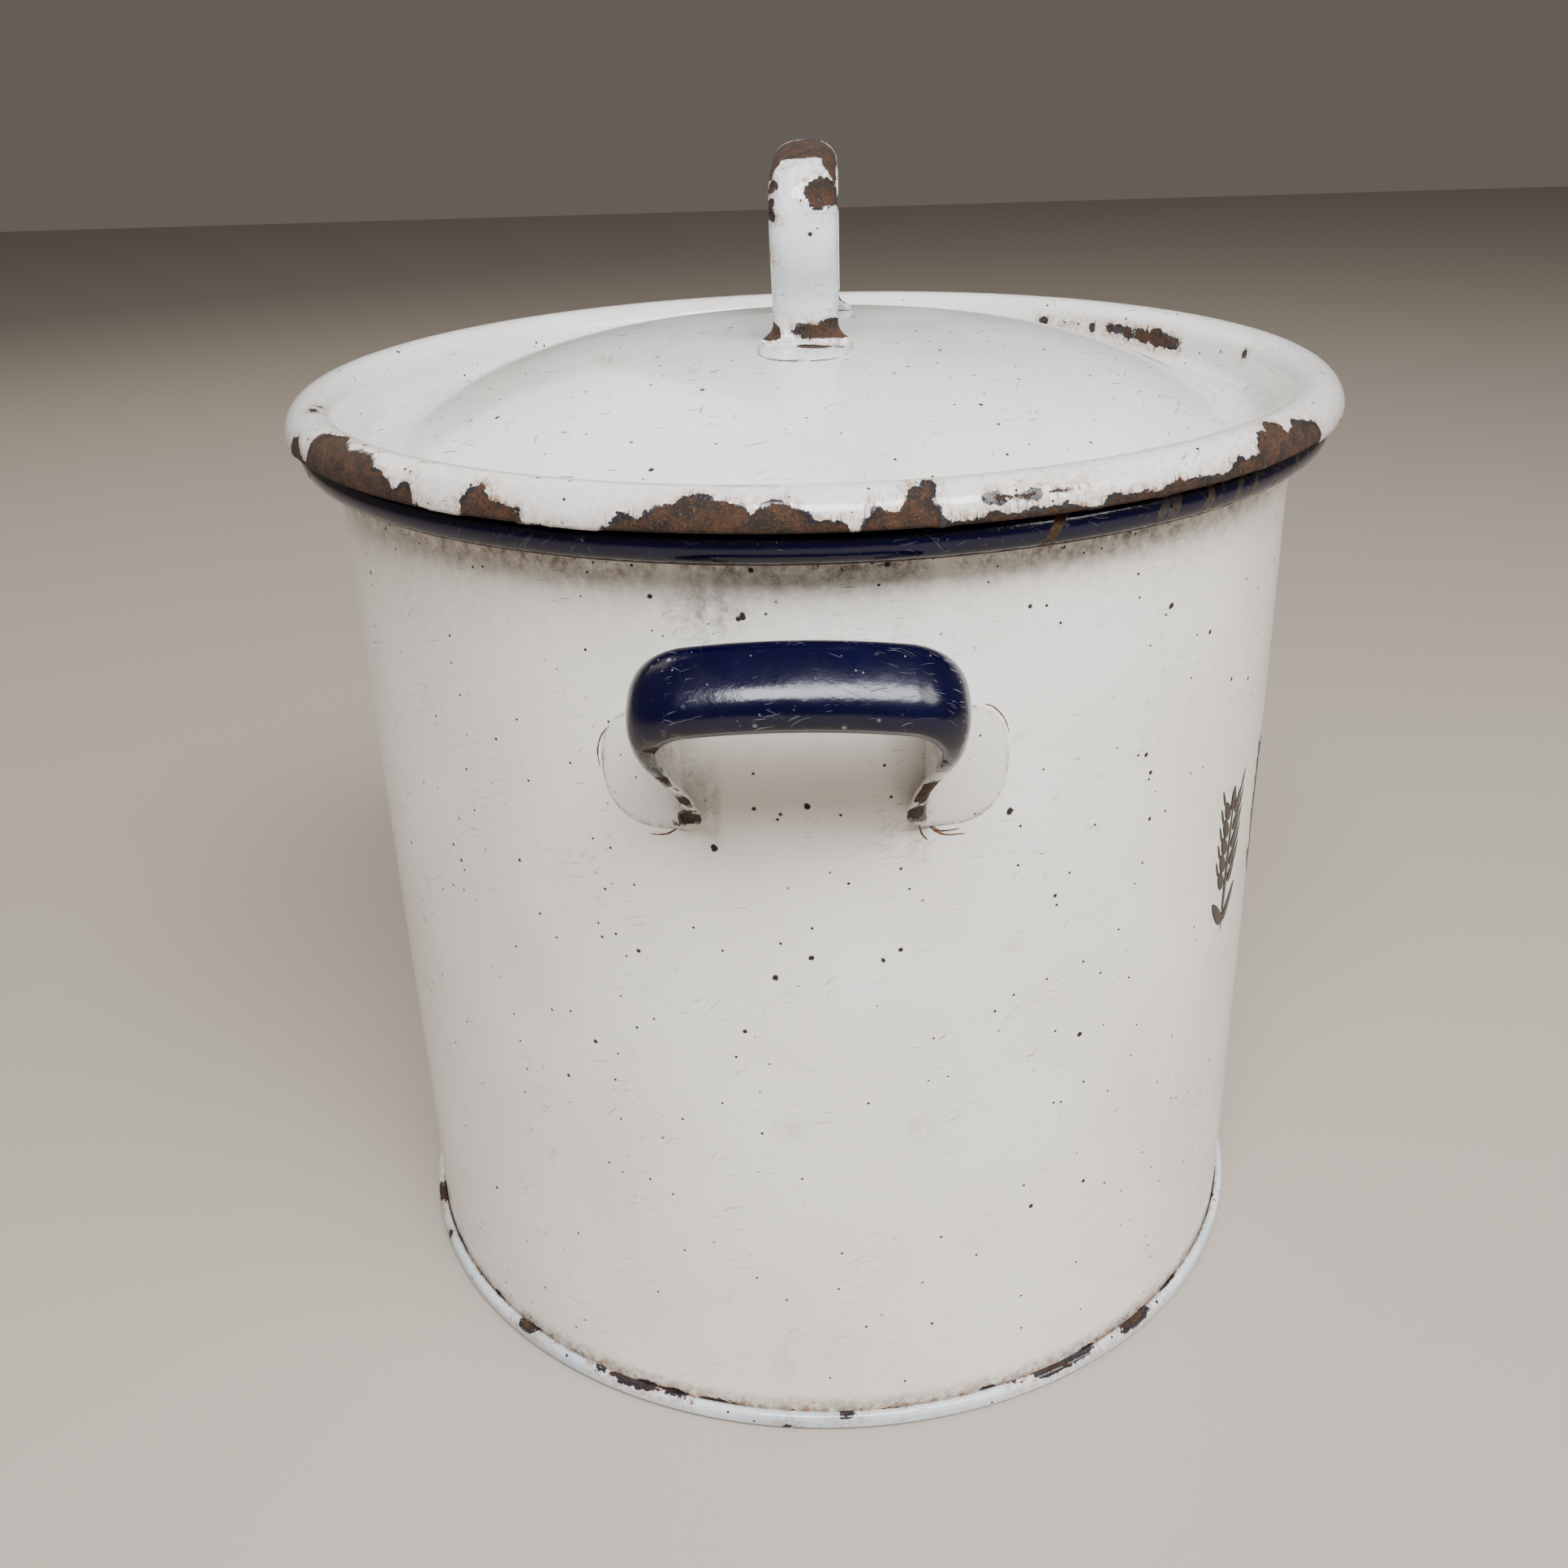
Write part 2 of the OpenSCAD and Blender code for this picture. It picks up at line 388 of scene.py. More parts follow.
def scratches(n, mm, halo):
    """1 along the fine scratches, and along the lines dragged out of each flake."""
    along = n("Attribute", attribute_name="streak", out="Vector")
    drag = n("TexNoise", {"Vector": along, "Scale": 1 / 0.5, "Detail": 2})
    drag = n("Math", {0: halo, 1: 0.2, 2: drag}, operation="MULTIPLY_ADD")
    drag = n("Math", {0: n("MapRange", {0: drag, 1: 0.76, 2: 0.8}), 1: halo}, operation="MULTIPLY")
    lines = n("Math", {0: hairlines(n, mm, (1.45, 0.1, 0.0), 0.75),
                       1: hairlines(n, mm, (0.9, 0.5, 0.6), 0.77)}, operation="MAXIMUM")
    return n("Math", {0: lines, 1: drag}, operation="MAXIMUM")


def crowded_pits(n, mm, stain_and_shade, halo, speck):
    """1 inside the pits. speck makes them all larger or smaller."""
    busy = n("Math", {0: stain_and_shade, 1: halo}, operation="MAXIMUM")
    widest = n("Math", {0: busy, 1: 0.182}, operation="MULTIPLY")
    away = n("TexVoronoi", {"Vector": mm, "Scale": 1 / 2.6}, out="Distance")
    crowd = n("MapRange", {0: n("MapRange", {0: away, 1: widest, 2: 0.0}), 1: 0.15, 2: 0.4})
    pits = n("Math", {0: pinholes(n, mm, 4.8, 0.4 * speck),
                      1: pinholes(n, mm, 11.0, 0.66 * speck)}, operation="MAXIMUM")
    return n("Math", {0: pits, 1: crowd}, operation="MAXIMUM")


# %% [markdown]
# The coats are laid in the order they came to be: glass, dirt and painted shade, rust in the glass,
# scratches, pits, the dark ground coat at a flake's edge, and last the bare steel. Each also roughens
# the gloss and moves the surface a little.


# %% White enamel
def white_enamel(name, white="#f2eee5", tint="#e7e2d6", speck=1.0, dirt_and_shade="#6f6558", marks=()):
    """White glass on steel, with all its wear, and painted shade where the stain layer carries it."""
    material, n, shader = new_material(name, ior=1.52)
    mm = in_mm(n)
    stain_and_shade = n("Attribute", attribute_name="stain_and_shade", out="Fac")
    steel, rim, halo = bare_masks(n, mm)
    rusty, grain = rust(n, mm)
    lines = scratches(n, mm, halo)
    pits = crowded_pits(n, mm, stain_and_shade, halo, speck)
    if marks:
        pits = n("Math", {0: pits, 1: spots(n, mm, marks)}, operation="MAXIMUM")

    glass, dirt_and_shade_mask = white_glass(n, mm, stain_and_shade, white, tint, dirt_and_shade)
    glass = rust_tinted(n, mm, glass, halo)
    scored = n("Math", {0: lines, 1: 0.75}, operation="MULTIPLY")
    for mask, tone in ((scored, "#4d3a2a"), (pits, "#221912"), (rim, "#2b292c")):
        glass = n("Mix", {0: mask, 6: glass, 7: colour(tone)}, **RGBA)
    final = n("Mix", {0: steel, 6: glass, 7: rusty}, **RGBA)

    wiped = n("TexNoise", {"Vector": mm, "Scale": 1 / 20, "Detail": 3})
    dull = n("MapRange", {0: wiped, 1: 0.3, 2: 0.75, 3: 0.1, 4: 0.2})
    for mask, share in ((lines, 0.25), (dirt_and_shade_mask, 0.4)):
        dull = n("Math", {0: mask, 1: share, 2: dull}, operation="MULTIPLY_ADD")
    dull = n("Mix", {0: n("Math", {0: steel, 1: pits}, operation="MAXIMUM"), 2: dull, 3: 0.88})

    peel = n("TexNoise", {"Vector": mm, "Scale": 1 / 5, "Detail": 2})
    height = n("Math", {0: peel, 1: 0.05}, operation="MULTIPLY")
    for mask, rise in ((lines, -0.02), (pits, -0.12)):
        height = n("Math", {0: mask, 1: rise, 2: height}, operation="MULTIPLY_ADD")
    rough_steel = n("Math", {0: grain, 1: 0.35, 2: -0.35}, operation="MULTIPLY_ADD")
    height = n("Mix", {0: steel, 2: height, 3: rough_steel})
    return plug_in(material, shader, height, Base_Color=final, Roughness=dull)


# %% [markdown]
# ## Cobalt enamel
#
# The dark blue is the same glass, coloured with cobalt. It is so dark that it looks black out of
# the light and blue only in it. On the grips it is scuffed by hands and shelves: short pale
# scratches and specks where the surface is crushed. The blue layer says how far inside the painted
# stretch a place lies. Past its end the glass underneath is the white one, worn grey.


# %% Blue glass and worn ends
def cobalt_glass(n, mm, scuffs):
    """The blue itself with its scratches and specks, and a mask of where it is crushed."""
    cloud = n("TexNoise", {"Vector": mm, "Scale": 1 / 12, "Detail": 3})
    blue = n("Mix", {0: cloud, 6: colour("#010112"), 7: colour("#02022a")}, **RGBA)
    where = n("TexNoise", {"Vector": mm, "Scale": 1 / 8, "Detail": 3})
    scratch = n("Math", {0: hairlines(n, mm, (1.57, 0.87, 0.25), 0.71),
                         1: hairlines(n, mm, (1.57, 0.75, -0.6), 0.74)}, operation="MAXIMUM")
    specks = n("Math", {0: pinholes(n, mm, 1.7, 0.24), 1: pinholes(n, mm, 4.0, 0.55)},
               operation="MAXIMUM")
    specks = n("Math", {0: specks, 1: n("MapRange", {0: where, 1: 0.48, 2: 0.6})},
               operation="MULTIPLY")
    crushed = n("Math", {0: n("Math", {0: scratch, 1: specks}, operation="MAXIMUM"), 1: scuffs},
                operation="MULTIPLY")
    faint = n("MapRange", {0: where, 1: 0.4, 2: 0.7, 3: 0.1, 4: 0.65})
    pale = n("Math", {0: crushed, 1: faint}, operation="MULTIPLY")
    return n("Mix", {0: pale, 6: blue, 7: colour("#9a9ca0")}, **RGBA), crushed


def ending(n, mm, blue):
    """Lets the blue run out past its painted stretch, through worn grey to dirty white."""
    painted = n("Attribute", attribute_name="blue", out="Fac")
    stain_and_shade = n("Attribute", attribute_name="stain_and_shade", out="Fac")
    fray = n("TexNoise", {"Vector": mm, "Scale": 1 / 1.6, "Detail": 4, "Roughness": 0.65})
    edge = n("Math", {0: fray, 1: 2.4, 2: painted}, operation="MULTIPLY_ADD")
    thin = patched(n, fray, 0.4, 0.62, colour("#3d414d"), colour("#9b9c9a"))
    dirt_and_shade_mask = n("Math", {0: n("MapRange", {0: fray, 1: 0.4, 2: 0.65}), 1: stain_and_shade},
              operation="MULTIPLY", use_clamp=True)
    white = n("Mix", {0: dirt_and_shade_mask, 6: colour("#dedad2"), 7: colour("#5d4f42")}, **RGBA)
    worn = patched(n, edge, -4.4, -3.2, white, thin)
    return patched(n, edge, 1.0, 1.5, worn, blue)


# %% Cobalt enamel
def cobalt_enamel(name, scuffs=1.0):
    """Dark blue glass on steel. scuffs says how hard it has been handled."""
    material, n, shader = new_material(name, ior=1.47)
    mm = in_mm(n)
    steel, rim, _ = bare_masks(n, mm)
    rusty, grain = rust(n, mm)
    blue, crushed = cobalt_glass(n, mm, scuffs)
    glass = ending(n, mm, blue)
    for mask, tone in ((pinholes(n, mm, 3.4, 0.3), "#19120d"), (rim, "#35302c")):
        glass = n("Mix", {0: mask, 6: glass, 7: colour(tone)}, **RGBA)
    final = n("Mix", {0: steel, 6: glass, 7: rusty}, **RGBA)

    rubbed = n("TexNoise", {"Vector": mm, "Scale": 1 / 9, "Detail": 2})
    least, most = 0.11 + 0.05 * scuffs, 0.18 + 0.1 * scuffs
    dull = n("MapRange", {0: rubbed, 1: 0.3, 2: 0.7, 3: least, 4: most})
    dull = n("Math", {0: crushed, 1: 0.35, 2: dull}, operation="MULTIPLY_ADD")
    dull = n("Mix", {0: steel, 2: dull, 3: 0.85})
    peel = n("TexNoise", {"Vector": mm, "Scale": 1 / 2.4, "Detail": 3, "Roughness": 0.6})
    height = n("Math", {0: peel, 1: 0.07}, operation="MULTIPLY")
    height = n("Math", {0: crushed, 1: -0.04, 2: height}, operation="MULTIPLY_ADD")
    rough_steel = n("Math", {0: grain, 1: 0.35}, operation="MULTIPLY")
    height = n("Mix", {0: steel, 2: height, 3: rough_steel})
    return plug_in(material, shader, height, Base_Color=final, Roughness=dull)


# %% [markdown]
# Each coat is mixed once. The base was dipped in a bluer white than the rest, and the loops in a
# cleaner one. The bead is under the lid, out of reach, so it is hardly scuffed.

# %% The coats
# painted shade: the lid's white and tint are greyer than the wall's, so the dome, which faces the
# skylight, reads no brighter than the wall
SHADED_LID_WHITE = white_enamel("white_vitreous_enamel_lid", white="#e6e6e1", tint="#dbd8cf", speck=1.15)
RING_WHITE = white_enamel("bluish_vitreous_enamel_base", white="#dde3e5", tint="#bcc6cb")
LOOP_WHITE = white_enamel("white_vitreous_enamel_loop", white="#eef1f1", tint="#d3dbe0")
GRIP_BLUE = cobalt_enamel("cobalt_vitreous_enamel_grip")
BEAD_BLUE = cobalt_enamel("cobalt_vitreous_enamel_bead", scuffs=0.3)

# %% [markdown]
# ## The wall
#
# One sheet rolled to a drum. It isn't perfectly round or straight: hand-worked sheet keeps soft
# hollows a few tenths of a millimetre deep, which only show as slow waves in the reflections. They
# fade out at the rim and the base, where the folded edges hold the sheet true.

# %% Wall
FLANGE = 1.1
FLARE = 1.2
FLARE_HEIGHT = 7.7
WALL_IN = WALL_OUT - SHEET
WALL_TURNS, FINE_TURNS = 360, 720
wall_outside = fill_in([
    (WALL_IN + SHEET + FLANGE, SHEET), (WALL_IN + SHEET + FLANGE, 2 * SHEET),
    (WALL_OUT, 2 * SHEET), (WALL_OUT, BEAD_Z - FLARE_HEIGHT), (WALL_OUT + FLARE, BEAD_Z),
], 2.4)
wall_inside = fill_in([
    (WALL_IN + FLARE, BEAD_Z), (WALL_IN, BEAD_Z - FLARE_HEIGHT), (WALL_IN, SHEET),
], 6.0)
wall = lathe(wall_outside + wall_inside, WALL_TURNS)

HOLLOW = 0.35
HELD_WITHIN = 25
WALL_LOW, WALL_HIGH = 6, BEAD_Z - FLARE_HEIGHT


def push_hollows(bm):
    """Moves the drum in and out by slow noise that fades towards its two ends."""
    for vert in bm.verts:
        to_end = min(vert.co.z - WALL_LOW, WALL_HIGH - vert.co.z)
        held = max(0.0, min(1.0, to_end / HELD_WITHIN))
        flat = Vector((vert.co.x, vert.co.y, 0))
        wave = noise.noise(vert.co / 60) + 0.4 * noise.noise(vert.co / 26)
        vert.co += flat.normalized() * wave * HOLLOW * held


push_hollows(wall)

# %% [markdown]
# Dirt gathers in three places on the wall: under the bead, just above the base fold, and in a few
# old smudges on the belly. The band under the bead and the smudges at the side handle's roots are
# also painted shade. Each is a soft amount from 0 to 1 on the vertices, and the material breaks it
# up. Angles are measured round the axis from the right-hand handle.

# %% Wall stains
# each smudge: angle in degrees, height, half width, half height, strength; the three at the side
# handle's roots are partly painted shadow of the grip
SMUDGES_AND_ROOT_SHADE = [
    (177.6, 87.5, 4.5, 3.0, 0.4), (191.8, 86.0, 3.5, 4.0, 0.35), (171.5, 207.0, 10.0, 7.0, 0.75),
    (176.0, 20.0, 3.0, 6.0, 0.25), (202.0, 128.9, 3.0, 2.0, 0.3), (147.0, 66.9, 2.0, 3.0, 0.4),
    # these three, at the side handle's roots, are dirt and painted shadow of the grip
    (170.6, 166.0, 1.9, 9.0, 0.75), (191.4, 163.0, 2.0, 11.0, 0.65), (168.5, 170.0, 2.2, 10.0, 0.45),
    (64.0, 120.0, 6.0, 4.0, 0.4), (338.0, 60.0, 5.0, 7.0, 0.4), (12.0, 205.0, 14.0, 6.0, 0.5),
    (301.0, 180.0, 4.0, 9.0, 0.3), (95.0, 40.0, 8.0, 3.0, 0.35),
]
# pale stripes above the handle's legs, where the painted shade under the bead is left out: angle, half
# width
UNSHADED_STRIPES = [(168.0, 3.2), (193.5, 3.0)]
# painted shade under the bead, with some dirt in it: where it starts below the bead's middle, how tall
# it is, strength
SHADE_AND_DIRT_UNDER_BEAD = [(30, 28, 0.28), (12, 8, 0.9)]
RING_DIRT = 5.0
SMUDGE_FADE = 1.3
GROOVE_RUST, GROOVE_UNEVEN = 3.2, 1.8


def arc_length(angle, centre, radius):
    """Distance round a circle from a centre angle, in millimetres, the short way."""
    return math.radians((angle - centre + 180) % 360 - 180) * radius


def angle_of(place):
    """A place's angle round the axis, from 0 to 360 degrees."""
    return math.degrees(math.atan2(place.y, place.x)) % 360


def mark_wall(bm):
    """Writes the stain and bare layers on the wall's outside, with painted shade under the bead and at
    the handle's roots.
    """
    stain_and_shade, bare = new_layers(bm, "stain_and_shade", "bare")
    for vert in bm.verts:
        vert[bare] = -WEAR_REACH
        radius = math.hypot(vert.co.x, vert.co.y)
        if radius < WALL_OUT - 0.5 * SHEET:
            continue
        angle = angle_of(vert.co)
        # painted shade under the bead, mixed with dirt, and left out in the pale stripes
        shade_under_bead = sum(max(0.0, (vert.co.z - (BEAD_Z - down)) / tall) * strength
                         for down, tall, strength in SHADE_AND_DIRT_UNDER_BEAD)
        for centre, half in UNSHADED_STRIPES:
            shade_under_bead *= min(1.0, abs(arc_length(angle, centre, WALL_OUT)) / half)
        above_ring = max(0.0, 1 - (vert.co.z - RING_TOP) / RING_DIRT)
        dirt_and_shade = max(shade_under_bead, above_ring)
        for centre, height, half_w, half_h, strength in SMUDGES_AND_ROOT_SHADE:
            away = math.hypot(arc_length(angle, centre, WALL_OUT) / half_w,
                              (vert.co.z - height) / half_h)
            dirt_and_shade = max(dirt_and_shade, strength * max(0.0, SMUDGE_FADE - away))
        vert[stain_and_shade] = min(dirt_and_shade, 1.0)
        rust_in = GROOVE_RUST + GROOVE_UNEVEN * noise.noise(vert.co / 11)
        vert[bare] = above_ring * rust_in - WEAR_REACH


mark_wall(wall)

# %% [markdown]
# Here and there a larger bubble or a knock has gone right through the glass. These black spots are
# few enough to be listed one by one, and the coat draws each as a ragged dot.

# %% Wall spots
# each spot: angle, height, radius
SPOTS = [
    (201.0, 160.8, 0.9), (220.3, 197.0, 0.8), (180.3, 166.3, 0.75), (170.8, 156.4, 0.9),
    (176.5, 126.5, 0.75), (180.3, 131.5, 0.7), (187.7, 130.1, 0.6), (218.1, 165.4, 0.6),
    (147.2, 145.2, 0.5), (174.7, 205.6, 0.8), (165.8, 208.9, 0.6), (136.9, 138.6, 0.5),
    (211.0, 101.0, 0.7), (205.5, 57.0, 0.6), (151.0, 92.0, 0.5), (40.0, 150.0, 0.8),
    (335.0, 110.0, 0.8), (85.0, 70.0, 0.9),
]


def on_wall(angle, height, along=0.0, lift=0.0):
    """A place on the wall: an angle and a height, then a distance round it and one off it."""
    turn, out = math.radians(angle) + along / WALL_OUT, WALL_OUT + lift
    return Vector((math.cos(turn) * out, math.sin(turn) * out, height))


wall_marks = [(on_wall(angle, height), radius) for angle, height, radius in SPOTS]
WALL_WHITE = white_enamel("white_vitreous_enamel_wall", marks=wall_marks)
finish_piece(wall, "bin_wall", "bin", WALL_WHITE, ["body_wall"])

# %% [markdown]
# ## The rim bead
#
# The top of the wall is curled over a steel wire, and the curl is dipped in cobalt. The lid sits
# on it, so it is rubbed through in short stripes across the bead where the lid has been turned,
# and rust creeps out of the gap below it.

# %% Rim bead
CURL_END = -125
bead_outline = (arc((BEAD_X, BEAD_Z), BEAD_ROUND, 180, CURL_END, 0.8)
                + arc((BEAD_X, BEAD_Z), BEAD_ROUND - SHEET, CURL_END, 180, 1.6))
bead = lathe(bead_outline, FINE_TURNS)

# each stripe: angle in degrees, half width along the bead
STRIPES = [
    (202.5, 1.3), (214.0, 0.5), (215.5, 0.55), (220.0, 0.6), (221.5, 0.5), (224.5, 0.6),
    (227.0, 0.5), (231.5, 0.6), (236.0, 0.6), (239.0, 0.5), (246.0, 0.6),
    (38.0, 0.6), (41.0, 0.7), (44.5, 0.5), (118.0, 0.7), (301.0, 0.6), (304.5, 0.7), (340.0, 0.6),
]
# round the bead's own section, in degrees: a stripe's middle, its reach and its fading end
STRIPE_MIDDLE, STRIPE_REACH, STRIPE_FADE = 8, 52, 30
STRIPE_SLANT = 0.015
GAP_FROM, GAP_FADE = 48, 9


def mark_bead(bm):
    """Writes the bare and blue layers on the bead: worn stripes, and rust in the gap below."""
    bare, blue = new_layers(bm, "bare", "blue")
    for vert in bm.verts:
        angle = angle_of(vert.co)
        radius = math.hypot(vert.co.x, vert.co.y)
        round_at = math.degrees(math.atan2(vert.co.z - BEAD_Z, radius - BEAD_X))
        depth = -WEAR_REACH
        for centre, half in STRIPES:
            across = abs(arc_length(angle, centre + STRIPE_SLANT * round_at, BEAD_OUT))
            end = (STRIPE_REACH - abs(round_at - STRIPE_MIDDLE)) / STRIPE_FADE
            depth = max(depth, min(half - across, end))
        below = (-round_at - GAP_FROM) / GAP_FADE if round_at < 0 else -WEAR_REACH
        depth = max(depth, min(below, 1.0)) + 0.55 * noise.noise(vert.co / 2.5)
        vert[bare] = max(depth - 0.15, -WEAR_REACH)
        vert[blue] = 2 * WEAR_REACH


mark_bead(bead)
finish_piece(bead, "rim_bead", "bin", BEAD_BLUE)

# %% [markdown]
# ## The base
#
# A pressed disc whose edge is folded up and over the wall's flange. Its centre is raised so the
# bin stands on a flat ring. The fold shows as a pale round ledge with a dark line of dirt where it
# meets the wall, and the foot ring is rubbed.

# %% Base
FOOT_IN = RING_OUT - 10
STEP = 3.0
PANEL = 3.0
FOLD_GAP = 0.3
ROUND = 1.6
base_under = (
    fill_in([(0, PANEL), (FOOT_IN - STEP, PANEL)], 6)
    + fill_in([(FOOT_IN, 0), (RING_OUT - ROUND, 0)], 1.6)
    + arc((RING_OUT - ROUND, ROUND), ROUND, -90, 0, 0.5)
    + arc((RING_OUT - ROUND, RING_TOP - ROUND), ROUND, 0, 90, 0.5)
)
base_over = [
    (WALL_OUT + FOLD_GAP, RING_TOP), (WALL_OUT + FOLD_GAP, RING_TOP - SHEET),
    (RING_OUT - SHEET, RING_TOP - SHEET), (RING_OUT - SHEET, SHEET), (FOOT_IN + SHEET / 2, SHEET),
    (FOOT_IN - STEP + SHEET / 2, PANEL + SHEET), (60, PANEL + SHEET), (0, PANEL + SHEET),
]
base = lathe(base_under + base_over, FINE_TURNS)

# each flake: angle, height on the ring, half width, half height
RING_FLAKES = [
    (139.0, 4.4, 2.0, 0.9), (116.5, 3.0, 0.8, 1.4), (183.0, 4.6, 1.0, 0.5), (157.0, 4.7, 9.0, 0.4),
    (223.0, 4.5, 4.0, 0.7), (176.0, 1.2, 0.7, 0.5), (20.0, 3.6, 2.8, 1.0), (74.0, 1.4, 4.0, 1.2),
    (292.0, 4.2, 5.0, 0.7), (330.0, 2.0, 1.8, 1.3), (108.0, 4.2, 3.2, 0.8), (210.0, 4.6, 5.0, 0.4),
]
LEDGE, NEAR_FLAKE = 3, 16
GROOVE_WIDE, GROOVE_DEEP = 1.2, 0.6
FOOT_STAIN, RING_STAIN = 0.35, 0.15


def mark_base(bm):
    """Writes the bare and stain layers on the base: flakes, the dirty groove, the rubbed foot."""
    bare, stain_and_shade = new_layers(bm, "bare", "stain_and_shade")
    for vert in bm.verts:
        vert[bare] = -WEAR_REACH
        radius = math.hypot(vert.co.x, vert.co.y)
        if radius < FOOT_IN - 1:
            continue
        angle = angle_of(vert.co)
        foot = vert.co.z < 0.3 and radius < RING_OUT
        if radius > RING_OUT - LEDGE:
            for centre, *flake in RING_FLAKES:
                u = arc_length(angle, centre, RING_OUT)
                if abs(u) < NEAR_FLAKE:
                    vert[bare] = max(vert[bare], bareness(u, vert.co.z, [(0, *flake)]))
        on_top = vert.co.z > RING_TOP - GROOVE_DEEP
        groove = max(0.0, 1 - (radius - WALL_OUT) / GROOVE_WIDE) if on_top else 0.0
        if groove > 0:
            vert[bare] = max(vert[bare], groove * 1.6 - 1.9 + 1.3 * noise.noise(vert.co / 14))
        if foot:
            vert[bare] = max(vert[bare], noise.noise(vert.co / 9) * 1.6 - 0.7)
        vert[bare] += 0.4 * noise.noise(vert.co / 1.5)
        vert[stain_and_shade] = max(groove, FOOT_STAIN if foot else RING_STAIN)


mark_base(base)
finish_piece(base, "base_pan_shell", "bin", RING_WHITE, ["base_pan"])

# %% [markdown]
# ## The lid
#
# One pressing: a low dome, a valley that drops inside the bin's mouth, a round crest over the
# bead, and a hem turned in underneath. The dome is a power curve that meets the valley's arc at
# the same height and slope, so no crease shows where they join.

# %% Lid outline
CREST_ROUND = 6.5
HEM_ROUND = 1.1
VALLEY_ROUND = 5.5
FOOT_SLOPE = 31
CREST_TOP = DOME_TOP - 8.5
CREST = (LID_OUT - CREST_ROUND, CREST_TOP - CREST_ROUND)
HEM = (LID_OUT - HEM_ROUND, CREST[1])
VALLEY = (CREST[0] - CREST_ROUND - VALLEY_ROUND, CREST[1] - 1)
DOME_EDGE = (VALLEY[0] - VALLEY_ROUND * math.sin(math.radians(FOOT_SLOPE)),
             VALLEY[1] - VALLEY_ROUND * math.cos(math.radians(FOOT_SLOPE)))
DOME_DROP = DOME_TOP - DOME_EDGE[1]
DOME_POWER = math.tan(math.radians(FOOT_SLOPE)) * DOME_EDGE[0] / DOME_DROP


def dome_height(radius):
    """Height of the dome's upper face at a distance from the axis."""
    return DOME_TOP - DOME_DROP * (min(radius, DOME_EDGE[0]) / DOME_EDGE[0]) ** DOME_POWER


def lid_face(dome_gap, rim_gap):
    """The lid's outer face from its centre to the hem's inner edge."""
    steps = round(DOME_EDGE[0] / dome_gap)
    dome = [(DOME_EDGE[0] * i / steps, dome_height(DOME_EDGE[0] * i / steps)) for i in range(steps)]
    hem = arc(HEM, HEM_ROUND, 0, -90, min(rim_gap, 0.5))
    return (dome + arc(VALLEY, VALLEY_ROUND, -90 - FOOT_SLOPE, 0, rim_gap)
            + arc(CREST, CREST_ROUND, 180, 0, rim_gap)[1:] + hem[1:]
            + fill_in([hem[-1], (LID_OUT - 3.8, HEM[1] - HEM_ROUND)], rim_gap)[1:])


lid_outside = lid_face(dome_gap=4.0, rim_gap=0.95)
lid_inside = far_face(lid_face(dome_gap=8.0, rim_gap=2.0))
lid = lathe(lid_outside + lid_inside[::-1], FINE_TURNS)

# %% [markdown]
# The lid takes the knocks. Its flakes are listed by their angle round the axis and by their
# distance from the hem's edge along the outer face, so a flake that starts at the bottom and
# climbs over the crest is one tall oval. Overlapping ovals make the odd shapes real flakes have.

# %% Lid wear
# each flake: angle, distance up from the hem, half width, half height
LID_FLAKES = [
    (127.5, 7.2, 9.5, 8.0), (133.5, 5.6, 9.0, 6.6), (137.5, 3.6, 7.5, 5.0), (119.0, 5.6, 3.0, 2.6),
    (121.5, 3.2, 8.0, 3.0), (143.2, 3.0, 1.9, 4.4), (141.2, 3.0, 3.0, 2.6),
    (151.6, 3.0, 4.2, 6.4), (153.8, 3.0, 5.0, 5.0),
    (172.6, 3.0, 12.0, 7.6), (178.0, 3.0, 9.0, 5.6), (168.0, 2.6, 8.0, 4.0), (182.0, 2.4, 6.0, 3.0),
    (187.6, 2.8, 4.6, 5.2), (189.8, 3.4, 3.0, 7.4), (191.2, 5.0, 1.6, 6.0),
    (196.0, 3.0, 9.0, 1.9), (203.0, 3.2, 9.0, 1.7), (210.0, 3.4, 9.0, 2.1), (217.0, 3.6, 9.0, 2.3),
    (198.5, 8.2, 3.6, 0.6), (203.0, 8.3, 2.2, 0.5),
    (224.0, 4.2, 6.0, 3.0), (228.6, 6.6, 6.0, 4.6), (234.0, 4.8, 9.0, 5.4), (230.0, 10.4, 2.8, 2.6),
    (302.0, 25.2, 9.0, 2.0), (306.5, 25.0, 9.0, 1.2), (311.5, 24.4, 1.2, 0.8),
    (314.5, 24.6, 1.0, 0.7), (317.0, 24.0, 0.9, 0.6), (319.5, 24.6, 1.2, 0.6), (323.0, 24.2, 0.9, 0.6),
    (281.0, 22.8, 0.8, 0.7), (109.2, 17.0, 0.9, 0.6), (112.0, 15.0, 1.4, 0.6), (176.0, 16.0, 2.0, 0.4),
    (262.0, 3.0, 9.0, 3.2), (281.0, 2.8, 7.0, 4.4), (297.0, 3.0, 12.0, 5.6), (318.0, 2.6, 8.0, 2.6),
    (339.0, 3.4, 9.0, 6.4), (352.0, 2.8, 10.0, 3.0), (12.0, 3.2, 13.0, 6.0), (31.0, 2.8, 7.0, 3.4),
    (52.0, 3.4, 10.0, 6.8), (70.0, 2.6, 9.0, 2.6), (88.0, 3.2, 8.0, 5.0), (103.0, 2.8, 9.0, 3.2),
]
HEM_EDGE = 2.7
# distances up from the hem: where wear ends, where the scuffed crest lies, the valley's middle
WEAR_TOP, CREST_FROM, CREST_TO, VALLEY_AT = 34, 4, 17, 33
CREST_SCUFF = -2.9
STREAK_LONG = 9
# an old rust stain on the dome: angle, distance from the axis, half width, half length
DOME_STAIN = (118.4, 52.0, 2.5, 1.5)


